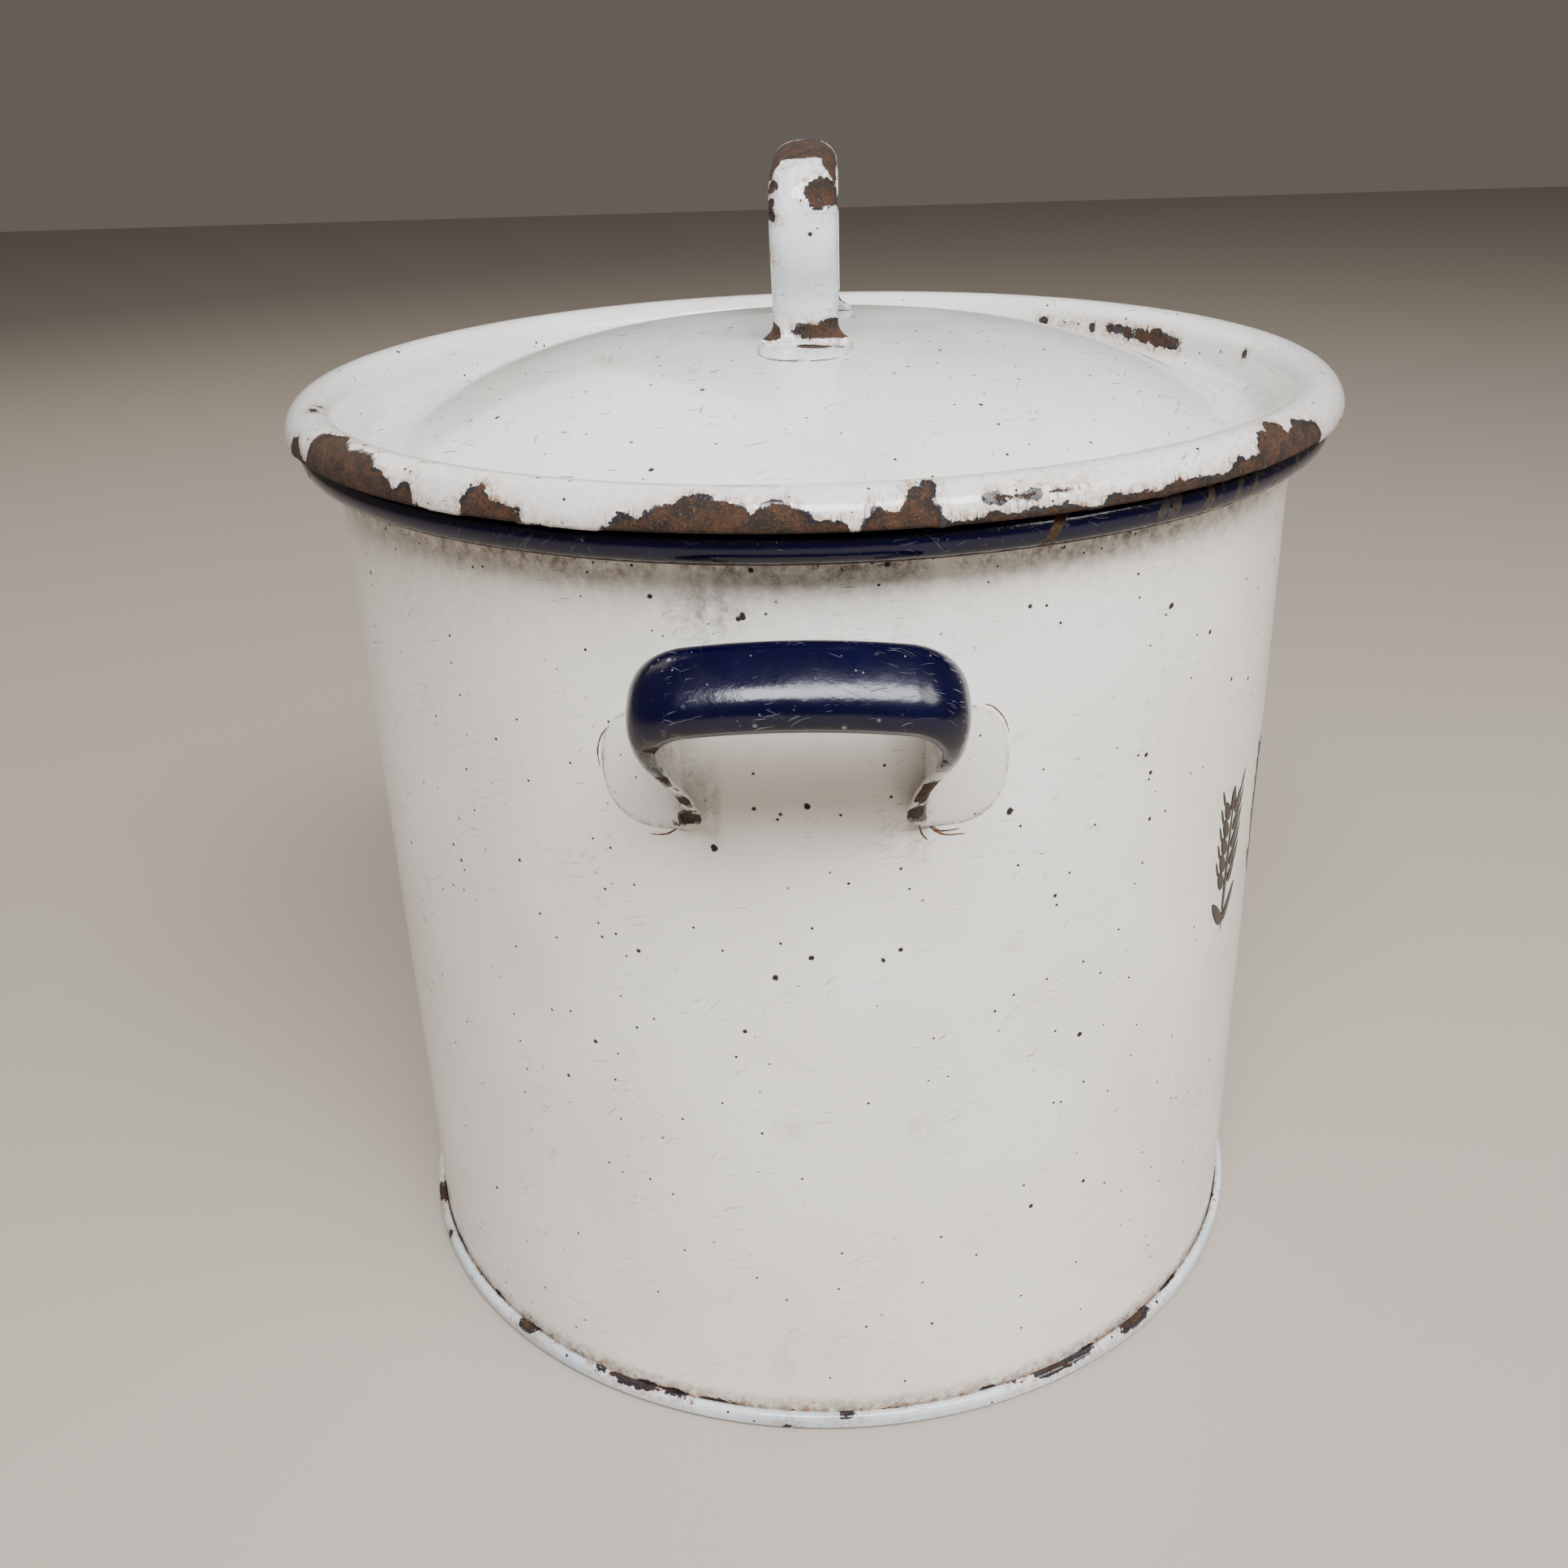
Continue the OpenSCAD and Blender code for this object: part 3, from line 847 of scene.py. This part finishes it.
def measured_along(points):
    """A search tree over an outline, and each point's distance along it from its end."""
    tree = kdtree.KDTree(len(points))
    for i, (x, z) in enumerate(points):
        tree.insert((x, 0, z), i)
    tree.balance()
    distance = [0.0]
    for a, b in zip(points[::-1], points[::-1][1:]):
        distance.append(distance[-1] + math.dist(a, b))
    return tree, distance[::-1]


def mark_lid(bm):
    """Writes the bare, stain and streak layers on the lid's outer face, with painted shade in the
    valley.
    """
    bare, stain_and_shade = new_layers(bm, "bare", "stain_and_shade")
    streak = bm.verts.layers.float_vector.new("streak")
    tree, distance = measured_along(lid_outside)
    stain_angle, stain_radius, stain_wide, stain_long = DOME_STAIN
    for vert in bm.verts:
        vert[bare] = -WEAR_REACH
        radius = math.hypot(vert.co.x, vert.co.y)
        _, index, gap = tree.find((radius, 0, vert.co.z))
        if gap > 0.1:
            continue
        up = distance[index]
        angle = angle_of(vert.co)
        turn = math.radians(angle)
        vert[streak] = Vector((LID_OUT * math.cos(turn), LID_OUT * math.sin(turn), up / STREAK_LONG))
        if up < WEAR_TOP:
            near = [(-arc_length(angle, centre, LID_OUT), *flake) for centre, *flake in LID_FLAKES
                    if abs(arc_length(angle, centre, LID_OUT)) < flake[1] + WEAR_REACH]
            depth = bareness(0, up, near)
            depth = max(depth, HEM_EDGE - up + 0.4 + 1.6 * noise.noise(vert.co / 7))
            if depth > -WEAR_REACH:
                widest = max([0.0] + [min(half_w, half_h) for _, _, half_w, half_h in near])
                size = min(1.0, 0.35 + widest / 7)
                depth += 0.6 * size * (ragged(vert.co) + noise.noise(vert[streak] / 1.4))
            scuff = CREST_SCUFF if CREST_FROM < up < CREST_TO else -WEAR_REACH
            vert[bare] = max(-WEAR_REACH, depth, scuff)
        # painted shade in the valley, and dirt towards the hem, both in the stain layer
        valley_shade = max(0.0, 1 - abs(up - VALLEY_AT) / 8)
        vert[stain_and_shade] = 0.3 * valley_shade + 0.22 * max(0.0, 1 - up / 18)
        away = math.hypot(arc_length(angle, stain_angle, stain_radius) / stain_wide,
                          (radius - stain_radius) / stain_long)
        vert[bare] = max(vert[bare], -0.9 - 0.75 * away)


mark_lid(lid)
sink(lid)
finish_piece(lid, "lid_pressing", "lid", SHADED_LID_WHITE, ["lid_shell"])

# %% [markdown]
# ## Bending a handle
#
# All three handles are the same idea: a strap pressed to a shallow channel, bent to a loop, with
# its ends splayed to oval feet. A flat grid is the strap before bending. Its long direction is
# laid along the loop's path and its short one across, with the edges curled down. Thickness is
# added last, so the underside stays open like the real channel.

# %% Handle path
LOOP_DEEP = LOOP_TOP - DOME_TOP
LOOP_HALF = 31.0
CORNER = 13.0
GRIP_BEND = 110.0
ROOT = 24.8
FOLD = 3.0
FOOT_END = 40.5
FOOT_LIFT = 0.6
PATH_GAP = 0.8
LEG_STEPS = 24


def loop_path():
    """Half of the loop's outer line, from the grip's middle to the foot's tip, as (along, out)."""
    corner_x = LOOP_HALF - CORNER
    grip_z = LOOP_DEEP - GRIP_BEND
    corner_z = grip_z + math.sqrt((GRIP_BEND - CORNER) ** 2 - corner_x ** 2)
    turn = math.degrees(math.atan2(corner_z - grip_z, corner_x))
    top = arc((0, grip_z), GRIP_BEND, 90, turn, PATH_GAP)
    corner = arc((corner_x, corner_z), CORNER, turn, 0, PATH_GAP)
    a, b = Vector((LOOP_HALF, corner_z)), Vector((LOOP_HALF, corner_z * 0.5))
    c, d = Vector((ROOT, corner_z * 0.55)), Vector((ROOT, FOOT_LIFT + FOLD))
    leg = []
    for i in range(1, LEG_STEPS + 1):
        t = i / LEG_STEPS
        point = a * (1 - t) ** 3 + b * 3 * t * (1 - t) ** 2 + c * 3 * t * t * (1 - t) + d * t ** 3
        leg.append(tuple(point))
    fold = arc((ROOT + FOLD, FOOT_LIFT + FOLD), FOLD, 180, 270, 0.6)
    foot = fill_in([fold[-1], (FOOT_END, FOOT_LIFT)], PATH_GAP)
    return fill_in(top + corner[1:] + leg + fold[1:] + foot[1:], PATH_GAP)


PATH = loop_path()
PATH_LENGTH = [0.0]
for start, end in zip(PATH, PATH[1:]):
    PATH_LENGTH.append(PATH_LENGTH[-1] + math.dist(start, end))
HALF_STRAP = PATH_LENGTH[-1]
ROOT_AT = next(t for t, p in zip(PATH_LENGTH, PATH) if p[1] < FOOT_LIFT + FOLD + 0.1)
print("half strap", round(HALF_STRAP, 1), "mm, its leg ends at", round(ROOT_AT, 1))


def path_at(t):
    """Place and outward direction on the loop at a signed distance from the grip's middle."""
    side, t = (1 if t >= 0 else -1), min(abs(t), HALF_STRAP)
    i = max(1, next((k for k, length in enumerate(PATH_LENGTH) if length >= t), len(PATH) - 1))
    share = (t - PATH_LENGTH[i - 1]) / (PATH_LENGTH[i] - PATH_LENGTH[i - 1])
    a, b = PATH[i - 1], PATH[i]
    along = (b[0] - a[0]) / math.dist(a, b), (b[1] - a[1]) / math.dist(a, b)
    place = Vector((side * (a[0] + (b[0] - a[0]) * share), a[1] + (b[1] - a[1]) * share))
    return place, Vector((-side * along[1], along[0]))


def ease(value, low, high):
    """0 below low, 1 above high, and a smooth step between."""
    t = min(1.0, max(0.0, (value - low) / (high - low)))
    return t * t * (3 - 2 * t)


# %% [markdown]
# The lid's loop stands upright, while the side loops tilt up from the wall. A tilted leg meets
# the upright wall on a slant, so its root is taller than the strap is wide. One function covers
# both: it takes the tilt, the width of the strap and the width of the foot, and asks the surface
# it is welded to how far that surface lies from the flat plane at the loop's middle.

# %% Handle mesh
GRIP_CHANNEL = 5.6
LEG_CHANNEL = 4.6
EDGE_DROP = 0.35
STRAP_SHEET = 1.1
EDGE_POWER = 0.8
STEPS_ALONG, STEPS_ACROSS = 236, 20
CHANNEL_FROM, CHANNEL_TO = 32, 44
FOOT_FROM = 29.0
OVAL_POWER = 2.4


def bend_handle(tilt, strap_half, foot_half, sag):
    """The strap as a closed bmesh: X runs along the loop, Y stands off the surface, Z is up."""
    bm = bmesh.new()
    bmesh.ops.create_grid(bm, x_segments=STEPS_ALONG, y_segments=STEPS_ACROSS, size=1)
    far, across, brim = new_layers(bm, "far", "across", "brim")
    lean = math.radians(tilt)
    out_of = Vector((0, math.cos(lean), math.sin(lean)))
    width_way = Vector((0, -math.sin(lean), math.cos(lean)))
    for vert in bm.verts:
        t, turn = vert.co.x * HALF_STRAP, vert.co.y * math.pi / 2
        a = math.copysign(abs(math.sin(turn)) ** EDGE_POWER, turn)
        curl = abs(math.cos(turn)) ** EDGE_POWER - 1
        place, outward = path_at(t)
        root = ease(abs(t), ROOT_AT - 16, ROOT_AT)
        foot = ease(abs(t), ROOT_AT - 1, ROOT_AT + 3.5)
        upright = (width_way * (1 - root) + Vector((0, 0, 1)) * root).normalized()
        half = strap_half / max(0.2, upright.dot(width_way))
        reach = (abs(place.x) - FOOT_FROM) / (FOOT_END + 0.05 - FOOT_FROM)
        oval = max(0.0, 1 - max(0.0, reach) ** OVAL_POWER) ** (1 / OVAL_POWER)
        half = half * (1 - foot) + foot_half * oval * foot
        deep = GRIP_CHANNEL + (LEG_CHANNEL - GRIP_CHANNEL) * ease(abs(t), CHANNEL_FROM, CHANNEL_TO)
        deep = deep * (1 - ease(abs(t), ROOT_AT - 3, ROOT_AT + 2)) + EDGE_DROP
        lift = out_of * (1 - foot) + Vector((0, 1, 0)) * foot
        skin = Vector((outward.x, 0, 0)) + lift * outward.y
        plane = ease(place.y, 1, 13)
        vert.co = (Vector((place.x, -sag(place.x) * (1 - plane), 0)) + out_of * place.y
                   + upright * half * a + skin * deep * curl)
        vert[far], vert[across] = t, half * a
        vert[brim] = foot * max(ease(abs(a), 0.84, 1.0), ease(reach, 0.9, 1.0))
    bmesh.ops.remove_doubles(bm, verts=bm.verts, dist=0.01)
    bmesh.ops.recalc_face_normals(bm, faces=bm.faces)
    return bm


def close_strap(bm):
    """Gives the strap its thickness, inwards from the skin, and leaves the hidden face unchipped."""
    skin = set(bm.verts)
    bmesh.ops.solidify(bm, geom=bm.faces[:], thickness=STRAP_SHEET)
    for vert in bm.verts:
        if vert not in skin:
            vert[bm.verts.layers.float["bare"]] = -WEAR_REACH
            vert[bm.verts.layers.float["stain_and_shade"]] = 0.4


# %% [markdown]
# ### Side handles
#
# They are dipped in cobalt down to the middle of each leg. The last stretch of leg and the feet
# are the bin's own white, worn grey where fingers and cloths have rubbed, and rusty at the tips.

# %% Side handles
SIDE_TILT = 50.5
SIDE_Z = 172.5
BLUE_END = 43.0
# each flake: distance along from the grip's middle, distance across, half length, half width
SIDE_FLAKES = [
    (ROOT_AT - 2.4, -11.6, 3.0, 1.4), (ROOT_AT - 7.0, -9.6, 1.2, 0.5),
    (-ROOT_AT + 2.6, -11.4, 2.6, 1.6), (-ROOT_AT + 8.5, -8.6, 3.0, 1.6),
    (-ROOT_AT + 12.0, -3.2, 1.6, 0.8), (35.0, -8.6, 4.0, 0.35),
    (-44.0, -9.0, 1.8, 0.5), (ROOT_AT - 13.0, -9.0, 1.2, 0.4),
]


def wall_sag(x):
    """How far the round wall lies behind its tangent plane at a sideways distance."""
    return WALL_OUT - math.sqrt(WALL_OUT ** 2 - x ** 2)


def mark_handle(bm, flakes, blue_end):
    """Writes the bare, blue and stain layers from the places along and across the strap."""
    bare, blue, stain_and_shade = new_layers(bm, "bare", "blue", "stain_and_shade")
    far, across, brim = [bm.verts.layers.float[name] for name in ("far", "across", "brim")]
    for vert in bm.verts:
        depth = bareness(vert[far], vert[across], flakes)
        if depth > -WEAR_REACH:
            depth += 0.45 * ragged(vert.co)
        vert[bare] = max(-WEAR_REACH, depth)
        vert[blue] = blue_end - abs(vert[far])
        low_edge = ease(-vert[across], 2, 11)
        leg = ease(abs(vert[far]), 42, 52) * (1 - ease(abs(vert[far]), ROOT_AT + 1, ROOT_AT + 4))
        vert[stain_and_shade] = max(leg * (0.15 + 0.3 * low_edge), 0.75 * vert[brim])


def side_handle(name, node, quarter_turn):
    """One blue loop on the wall, turned to its own side."""
    bm = bend_handle(SIDE_TILT, strap_half=8.7, foot_half=13.0, sag=wall_sag)
    mark_handle(bm, SIDE_FLAKES, BLUE_END)
    sink(bm)
    close_strap(bm)
    bmesh.ops.translate(bm, vec=(0, WALL_OUT, SIDE_Z), verts=bm.verts)
    turn_about(bm, "Z", quarter_turn)
    finish_piece(bm, name, "bin", GRIP_BLUE, [node])


side_handle("side_handle_left_loop", "side_handle_left", math.pi / 2)
side_handle("side_handle_right_loop", "side_handle_right", -math.pi / 2)

# %% [markdown]
# ### Lid handle
#
# The same loop stood upright along the line between the side handles, all in white. Its top and
# its feet have lost the most glass.

# %% Lid handle
LID_LOOP_FLAKES = [
    (8.0, 0.0, 14.0, 12.0), (23.0, -7.5, 4.0, 3.0), (21.5, 6.5, 4.0, 2.4), (32.0, -4.0, 3.9, 3.4),
    (ROOT_AT + 0.5, -5.2, 1.9, 6.0), (ROOT_AT + 1.0, 7.4, 1.6, 1.8), (ROOT_AT + 6.2, -2.4, 1.3, 4.4),
    (30.0, 6.8, 0.7, 0.6), (34.0, 7.6, 0.6, 0.5), (38.0, 7.2, 0.7, 0.8), (46.0, 7.8, 0.8, 0.6),
    (-22.0, 4.0, 6.0, 4.0), (-40.0, -6.0, 3.0, 2.0),
    (-66.0, 4.0, 2.4, 5.0), (-64.0, -7.5, 2.4, 2.4), (-52.0, 7.0, 1.4, 1.2),
]


def dome_sag(x):
    """How far the dome has dropped at a sideways distance from its centre."""
    return DOME_TOP - dome_height(abs(x))


loop = bend_handle(0.0, strap_half=7.6, foot_half=10.8, sag=dome_sag)
mark_handle(loop, LID_LOOP_FLAKES, -WEAR_REACH)
sink(loop)
close_strap(loop)
turn_about(loop, "X", math.pi / 2)
bmesh.ops.translate(loop, vec=(0, 0, DOME_TOP), verts=loop.verts)
turn_about(loop, "Z", math.pi)
finish_piece(loop, "lid_handle_loop", "lid", LOOP_WHITE, ["lid_handle"])

# %% [markdown]
# ## The painted front
#
# The front carries a plain stencil in brown enamel: five ears of wheat, side by side at the
# height of a hand. Each ear is a stem with leaf-shaped grains in pairs. A leaf is a small flat grid
# pulled to a pointed oval. The ear is wrapped on the wall and closed to a thin film of paint.


# %% Brown stencil enamel
def stencil_brown():
    """A brushed-on brown enamel, a little thin at its edges and specked like the wall."""
    material, n, shader = new_material("brown_stencil_enamel", ior=1.5)
    mm = in_mm(n)
    cloud = n("TexNoise", {"Vector": mm, "Scale": 1 / 3, "Detail": 4})
    brown = patched(n, cloud, 0.35, 0.7, colour("#120b06"), colour("#2a1c11"))
    final = n("Mix", {0: pinholes(n, mm, 3.0, 0.3), 6: brown, 7: colour("#b7ab98")}, **RGBA)
    dull = n("MapRange", {0: cloud, 1: 0.3, 2: 0.7, 3: 0.2, 4: 0.4})
    height = n("Math", {0: cloud, 1: 0.03}, operation="MULTIPLY")
    return plug_in(material, shader, height, Base_Color=final, Roughness=dull)


# %% Wheat ears
FRONT = 270.0
EAR_STEP = 16.0
EAR_LOW, EAR_HIGH = 106.0, 144.0
# half length and half width of each kind of leaf
STEM, GRAIN, BEARD, BLADE = (17.5, 0.8), (3.2, 1.55), (2.6, 0.45), (5.4, 1.5)
PAIRS, PAIR_STEP = 5, 4.6
PAINT = 0.12
KEYED_IN = 0.2


def leaf(bm, middle, halves, angle):
    """One flat leaf in the X-Z plane, widest below its middle, its long axis turned from upright."""
    long, wide = halves
    made = bmesh.ops.create_grid(bm, x_segments=4, y_segments=10, size=1.0)["verts"]
    for vert in made:
        x, y = vert.co.x, vert.co.y
        bulge = math.sqrt(max(0.0, 1 - y * y)) * (1 - 0.3 * y)
        vert.co = Vector((x * wide * bulge, 0, y * long))
    turn = Matrix.Rotation(math.radians(angle), 3, "Y")
    bmesh.ops.rotate(bm, cent=(0, 0, 0), matrix=turn, verts=made)
    bmesh.ops.translate(bm, vec=(middle[0], 0, middle[1]), verts=made)
    bmesh.ops.remove_doubles(bm, verts=made, dist=0.01)


def wheat_ear(bm, angle):
    """One ear, drawn flat at the origin and wrapped on the wall at an angle."""
    ear = bmesh.new()
    leaf(ear, (0, EAR_LOW + 17), STEM, 0)
    for pair in range(PAIRS):
        height = EAR_LOW + 14.5 + pair * PAIR_STEP
        for side in (-1, 1):
            leaf(ear, (side * 3.4, height), GRAIN, side * 32)
            leaf(ear, (side * 6.3, height + 4.2), BEARD, side * 24)
    leaf(ear, (0, EAR_HIGH - 3.2), GRAIN, 0)
    for side in (-1, 1):
        leaf(ear, (side * 3.8, EAR_LOW + 5.6), BLADE, side * 40)
    for vert in ear.verts:
        vert.co = on_wall(angle, vert.co.z, vert.co.x, PAINT)
    mesh = bpy.data.meshes.new("ear")
    ear.to_mesh(mesh)
    ear.free()
    bm.from_mesh(mesh)
    bpy.data.meshes.remove(mesh)


def close_film(bm, proud):
    """Follows the wall's hollows, turns every face outwards and roots the film in the wall."""
    push_hollows(bm)
    bm.normal_update()
    for face in bm.faces:
        middle = face.calc_center_median()
        if face.normal.x * middle.x + face.normal.y * middle.y < 0:
            face.normal_flip()
    bmesh.ops.solidify(bm, geom=bm.faces[:], thickness=proud + KEYED_IN)


stencil = bmesh.new()
for step in range(-2, 3):
    wheat_ear(stencil, FRONT + step * EAR_STEP)
close_film(stencil, PAINT)
finish_piece(stencil, "wheat_stencil", "bin", stencil_brown())

# %% [markdown]
# ## Cracks at the welds
#
# Where a foot was welded on, the glass has split in a few hair-thin curved lines, and rust has
# crept up through them. Each is a ribbon a third of a millimetre wide, laid on the wall along a
# smooth curve and pinched at both ends. They are most of what makes the roots look old.


# %% Rust in a crack
def crack_rust():
    """Rust that has crept up through a crack: nearly black where thick, orange brown where thin."""
    material, n, shader = new_material("rust_in_cracks", ior=1.6)
    mm = in_mm(n)
    cloud = n("TexNoise", {"Vector": mm, "Scale": 1 / 1.3, "Detail": 3})
    brown = patched(n, cloud, 0.38, 0.62, colour("#24150d"), colour("#754524"))
    height = n("Math", {0: cloud, 1: 0.1}, operation="MULTIPLY")
    shader.inputs["Roughness"].default_value = 0.85
    return plug_in(material, shader, height, Base_Color=brown)


# %% Cracks
# each crack: its side's angle, its half width, then places as (distance round, height)
CRACKS = [
    (180.0, 0.2, [(24.4, 162.6), (25.4, 159.8), (28.2, 158.0), (32.6, 157.6)]),
    (180.0, 0.15, [(24.8, 161.4), (27.0, 159.0), (31.4, 158.9)]),
    (180.0, 0.17, [(22.6, 161.6), (23.4, 158.8), (24.6, 157.2)]),
    (180.0, 0.18, [(-24.2, 167.2), (-24.0, 164.4), (-25.2, 161.2), (-28.2, 158.8), (-32.0, 158.3)]),
    (180.0, 0.16, [(-38.8, 181.8), (-41.2, 178.8), (-42.3, 175.2), (-42.0, 171.8)]),
    (180.0, 0.13, [(35.8, 185.2), (38.0, 184.2), (40.2, 181.6), (41.6, 178.0)]),
    (0.0, 0.18, [(24.2, 165.8), (24.4, 161.8), (27.4, 158.8)]),
    (0.0, 0.15, [(-25.0, 161.0), (-27.4, 158.6), (-32.2, 157.6)]),
]
SEEP = 0.07


def along_curve(places, t):
    """A place on the smooth curve through the places, where t runs from 0 to 1."""
    last = len(places) - 1
    i = min(int(t * last), last - 1)
    s = t * last - i
    a, b, c, d = [Vector(places[max(0, min(k, last))]) for k in range(i - 1, i + 3)]
    bend = (a * 2 - b * 5 + c * 4 - d) * s * s + (b * 3 - a - c * 3 + d) * s ** 3
    return (b * 2 + (c - a) * s + bend) / 2


def crack(bm, side, half, places):
    """A thin ribbon on the wall, pinched at both ends and a little uneven between them."""
    made = bmesh.ops.create_grid(bm, x_segments=2, y_segments=26, size=1.0)["verts"]
    for vert in made:
        across, t = vert.co.x, (vert.co.y + 1) / 2
        here, ahead = along_curve(places, t), along_curve(places, t + 0.01)
        along = (ahead - here).normalized()
        uneven = 1 + 0.5 * noise.noise(Vector((here.x, here.y, half * 90)) / 0.9)
        pinched = math.sin(math.pi * t) ** 0.6
        flat = here + Vector((-along.y, along.x)) * across * half * uneven * pinched
        vert.co = on_wall(side, flat.y, flat.x, SEEP)
    bmesh.ops.remove_doubles(bm, verts=made, dist=0.01)


cracks = bmesh.new()
for side, half, places in CRACKS:
    crack(cracks, side, half, places)
close_film(cracks, SEEP)
finish_piece(cracks, "weld_cracks", "bin", crack_rust())

# %% [markdown]
# ## The wire in the rim
#
# The engineering model's own wire stays where it is, sealed inside the bead. It is drawn steel
# with a dull, brownish skin, seen only through the slit under the curl.


# %% Rim wire
def drawn_steel():
    """Steel wire pulled through a die: fine lines round it and a thin film of rust."""
    material, n, shader = new_material("drawn_steel_wire")
    shader.inputs["Metallic"].default_value = 0.85
    mm = in_mm(n)
    film = n("TexNoise", {"Vector": mm, "Scale": 1 / 5, "Detail": 4})
    final = patched(n, film, 0.4, 0.65, colour("#8a8580"), colour("#6a4a34"))
    dull = n("MapRange", {0: film, 1: 0.3, 2: 0.7, 3: 0.35, 4: 0.65})
    return plug_in(material, shader, Base_Color=final, Roughness=dull)


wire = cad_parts["rim_wire"].data
wire.materials.clear()
wire.materials.append(drawn_steel())

# %% [markdown]
# ## Studio
#
# A pale floor, a dim soft sky, and three soft lights: a strong skylight high above the left
# handle, a small low window in front, and a weak broad one from the far side. Glossy enamel shows
# its lights as shapes, so they are few, and the brightest is as long as the bin is wide.

# %% Floor and lights
floor_bm = bmesh.new()
bmesh.ops.create_grid(floor_bm, x_segments=4, y_segments=4, size=3.0)
floor_mesh = bpy.data.meshes.new("floor")
floor_bm.to_mesh(floor_mesh)
floor_bm.free()
floor = bpy.data.objects.new("floor", floor_mesh)
bpy.context.scene.collection.objects.link(floor)
floor_paint, _, floor_shader = new_material("pale_matt_floor")
floor_shader.inputs["Base Color"].default_value = colour("#aca295")
floor_shader.inputs["Roughness"].default_value = 0.8
floor_mesh.materials.append(floor_paint)

world = bpy.data.worlds.new("soft_sky")
bpy.context.scene.world = world
world.use_nodes = True
sky = world.node_tree.nodes["Background"]
sky.inputs["Color"].default_value = colour("#c9beb2")
sky.inputs["Strength"].default_value = 0.23


def soft_light(name, place, aim, wide, tall, watts, tone):
    """A rectangular soft light at a place, turned to face a point, all in metres."""
    light = bpy.data.lights.new(name, "AREA")
    light.shape = "RECTANGLE"
    light.size, light.size_y = wide, tall
    light.energy = watts
    light.color = colour(tone)[:3]
    lamp = bpy.data.objects.new(name, light)
    lamp.location = place
    lamp.rotation_euler = (Vector(aim) - Vector(place)).to_track_quat("-Z", "Y").to_euler()
    bpy.context.scene.collection.objects.link(lamp)


soft_light("skylight", (-0.88, -0.16, 1.27), (-0.08, 0, 0.17), 1.15, 0.5, 47, "#f6f8ff")
soft_light("window", (-0.55, -0.95, 1.0), (0, 0, 0.14), 0.5, 0.5, 8, "#fffdf8")
soft_light("far_side", (0.9, 0.7, 1.1), (0, 0, 0.15), 1.2, 0.9, 7, "#fff4e6")
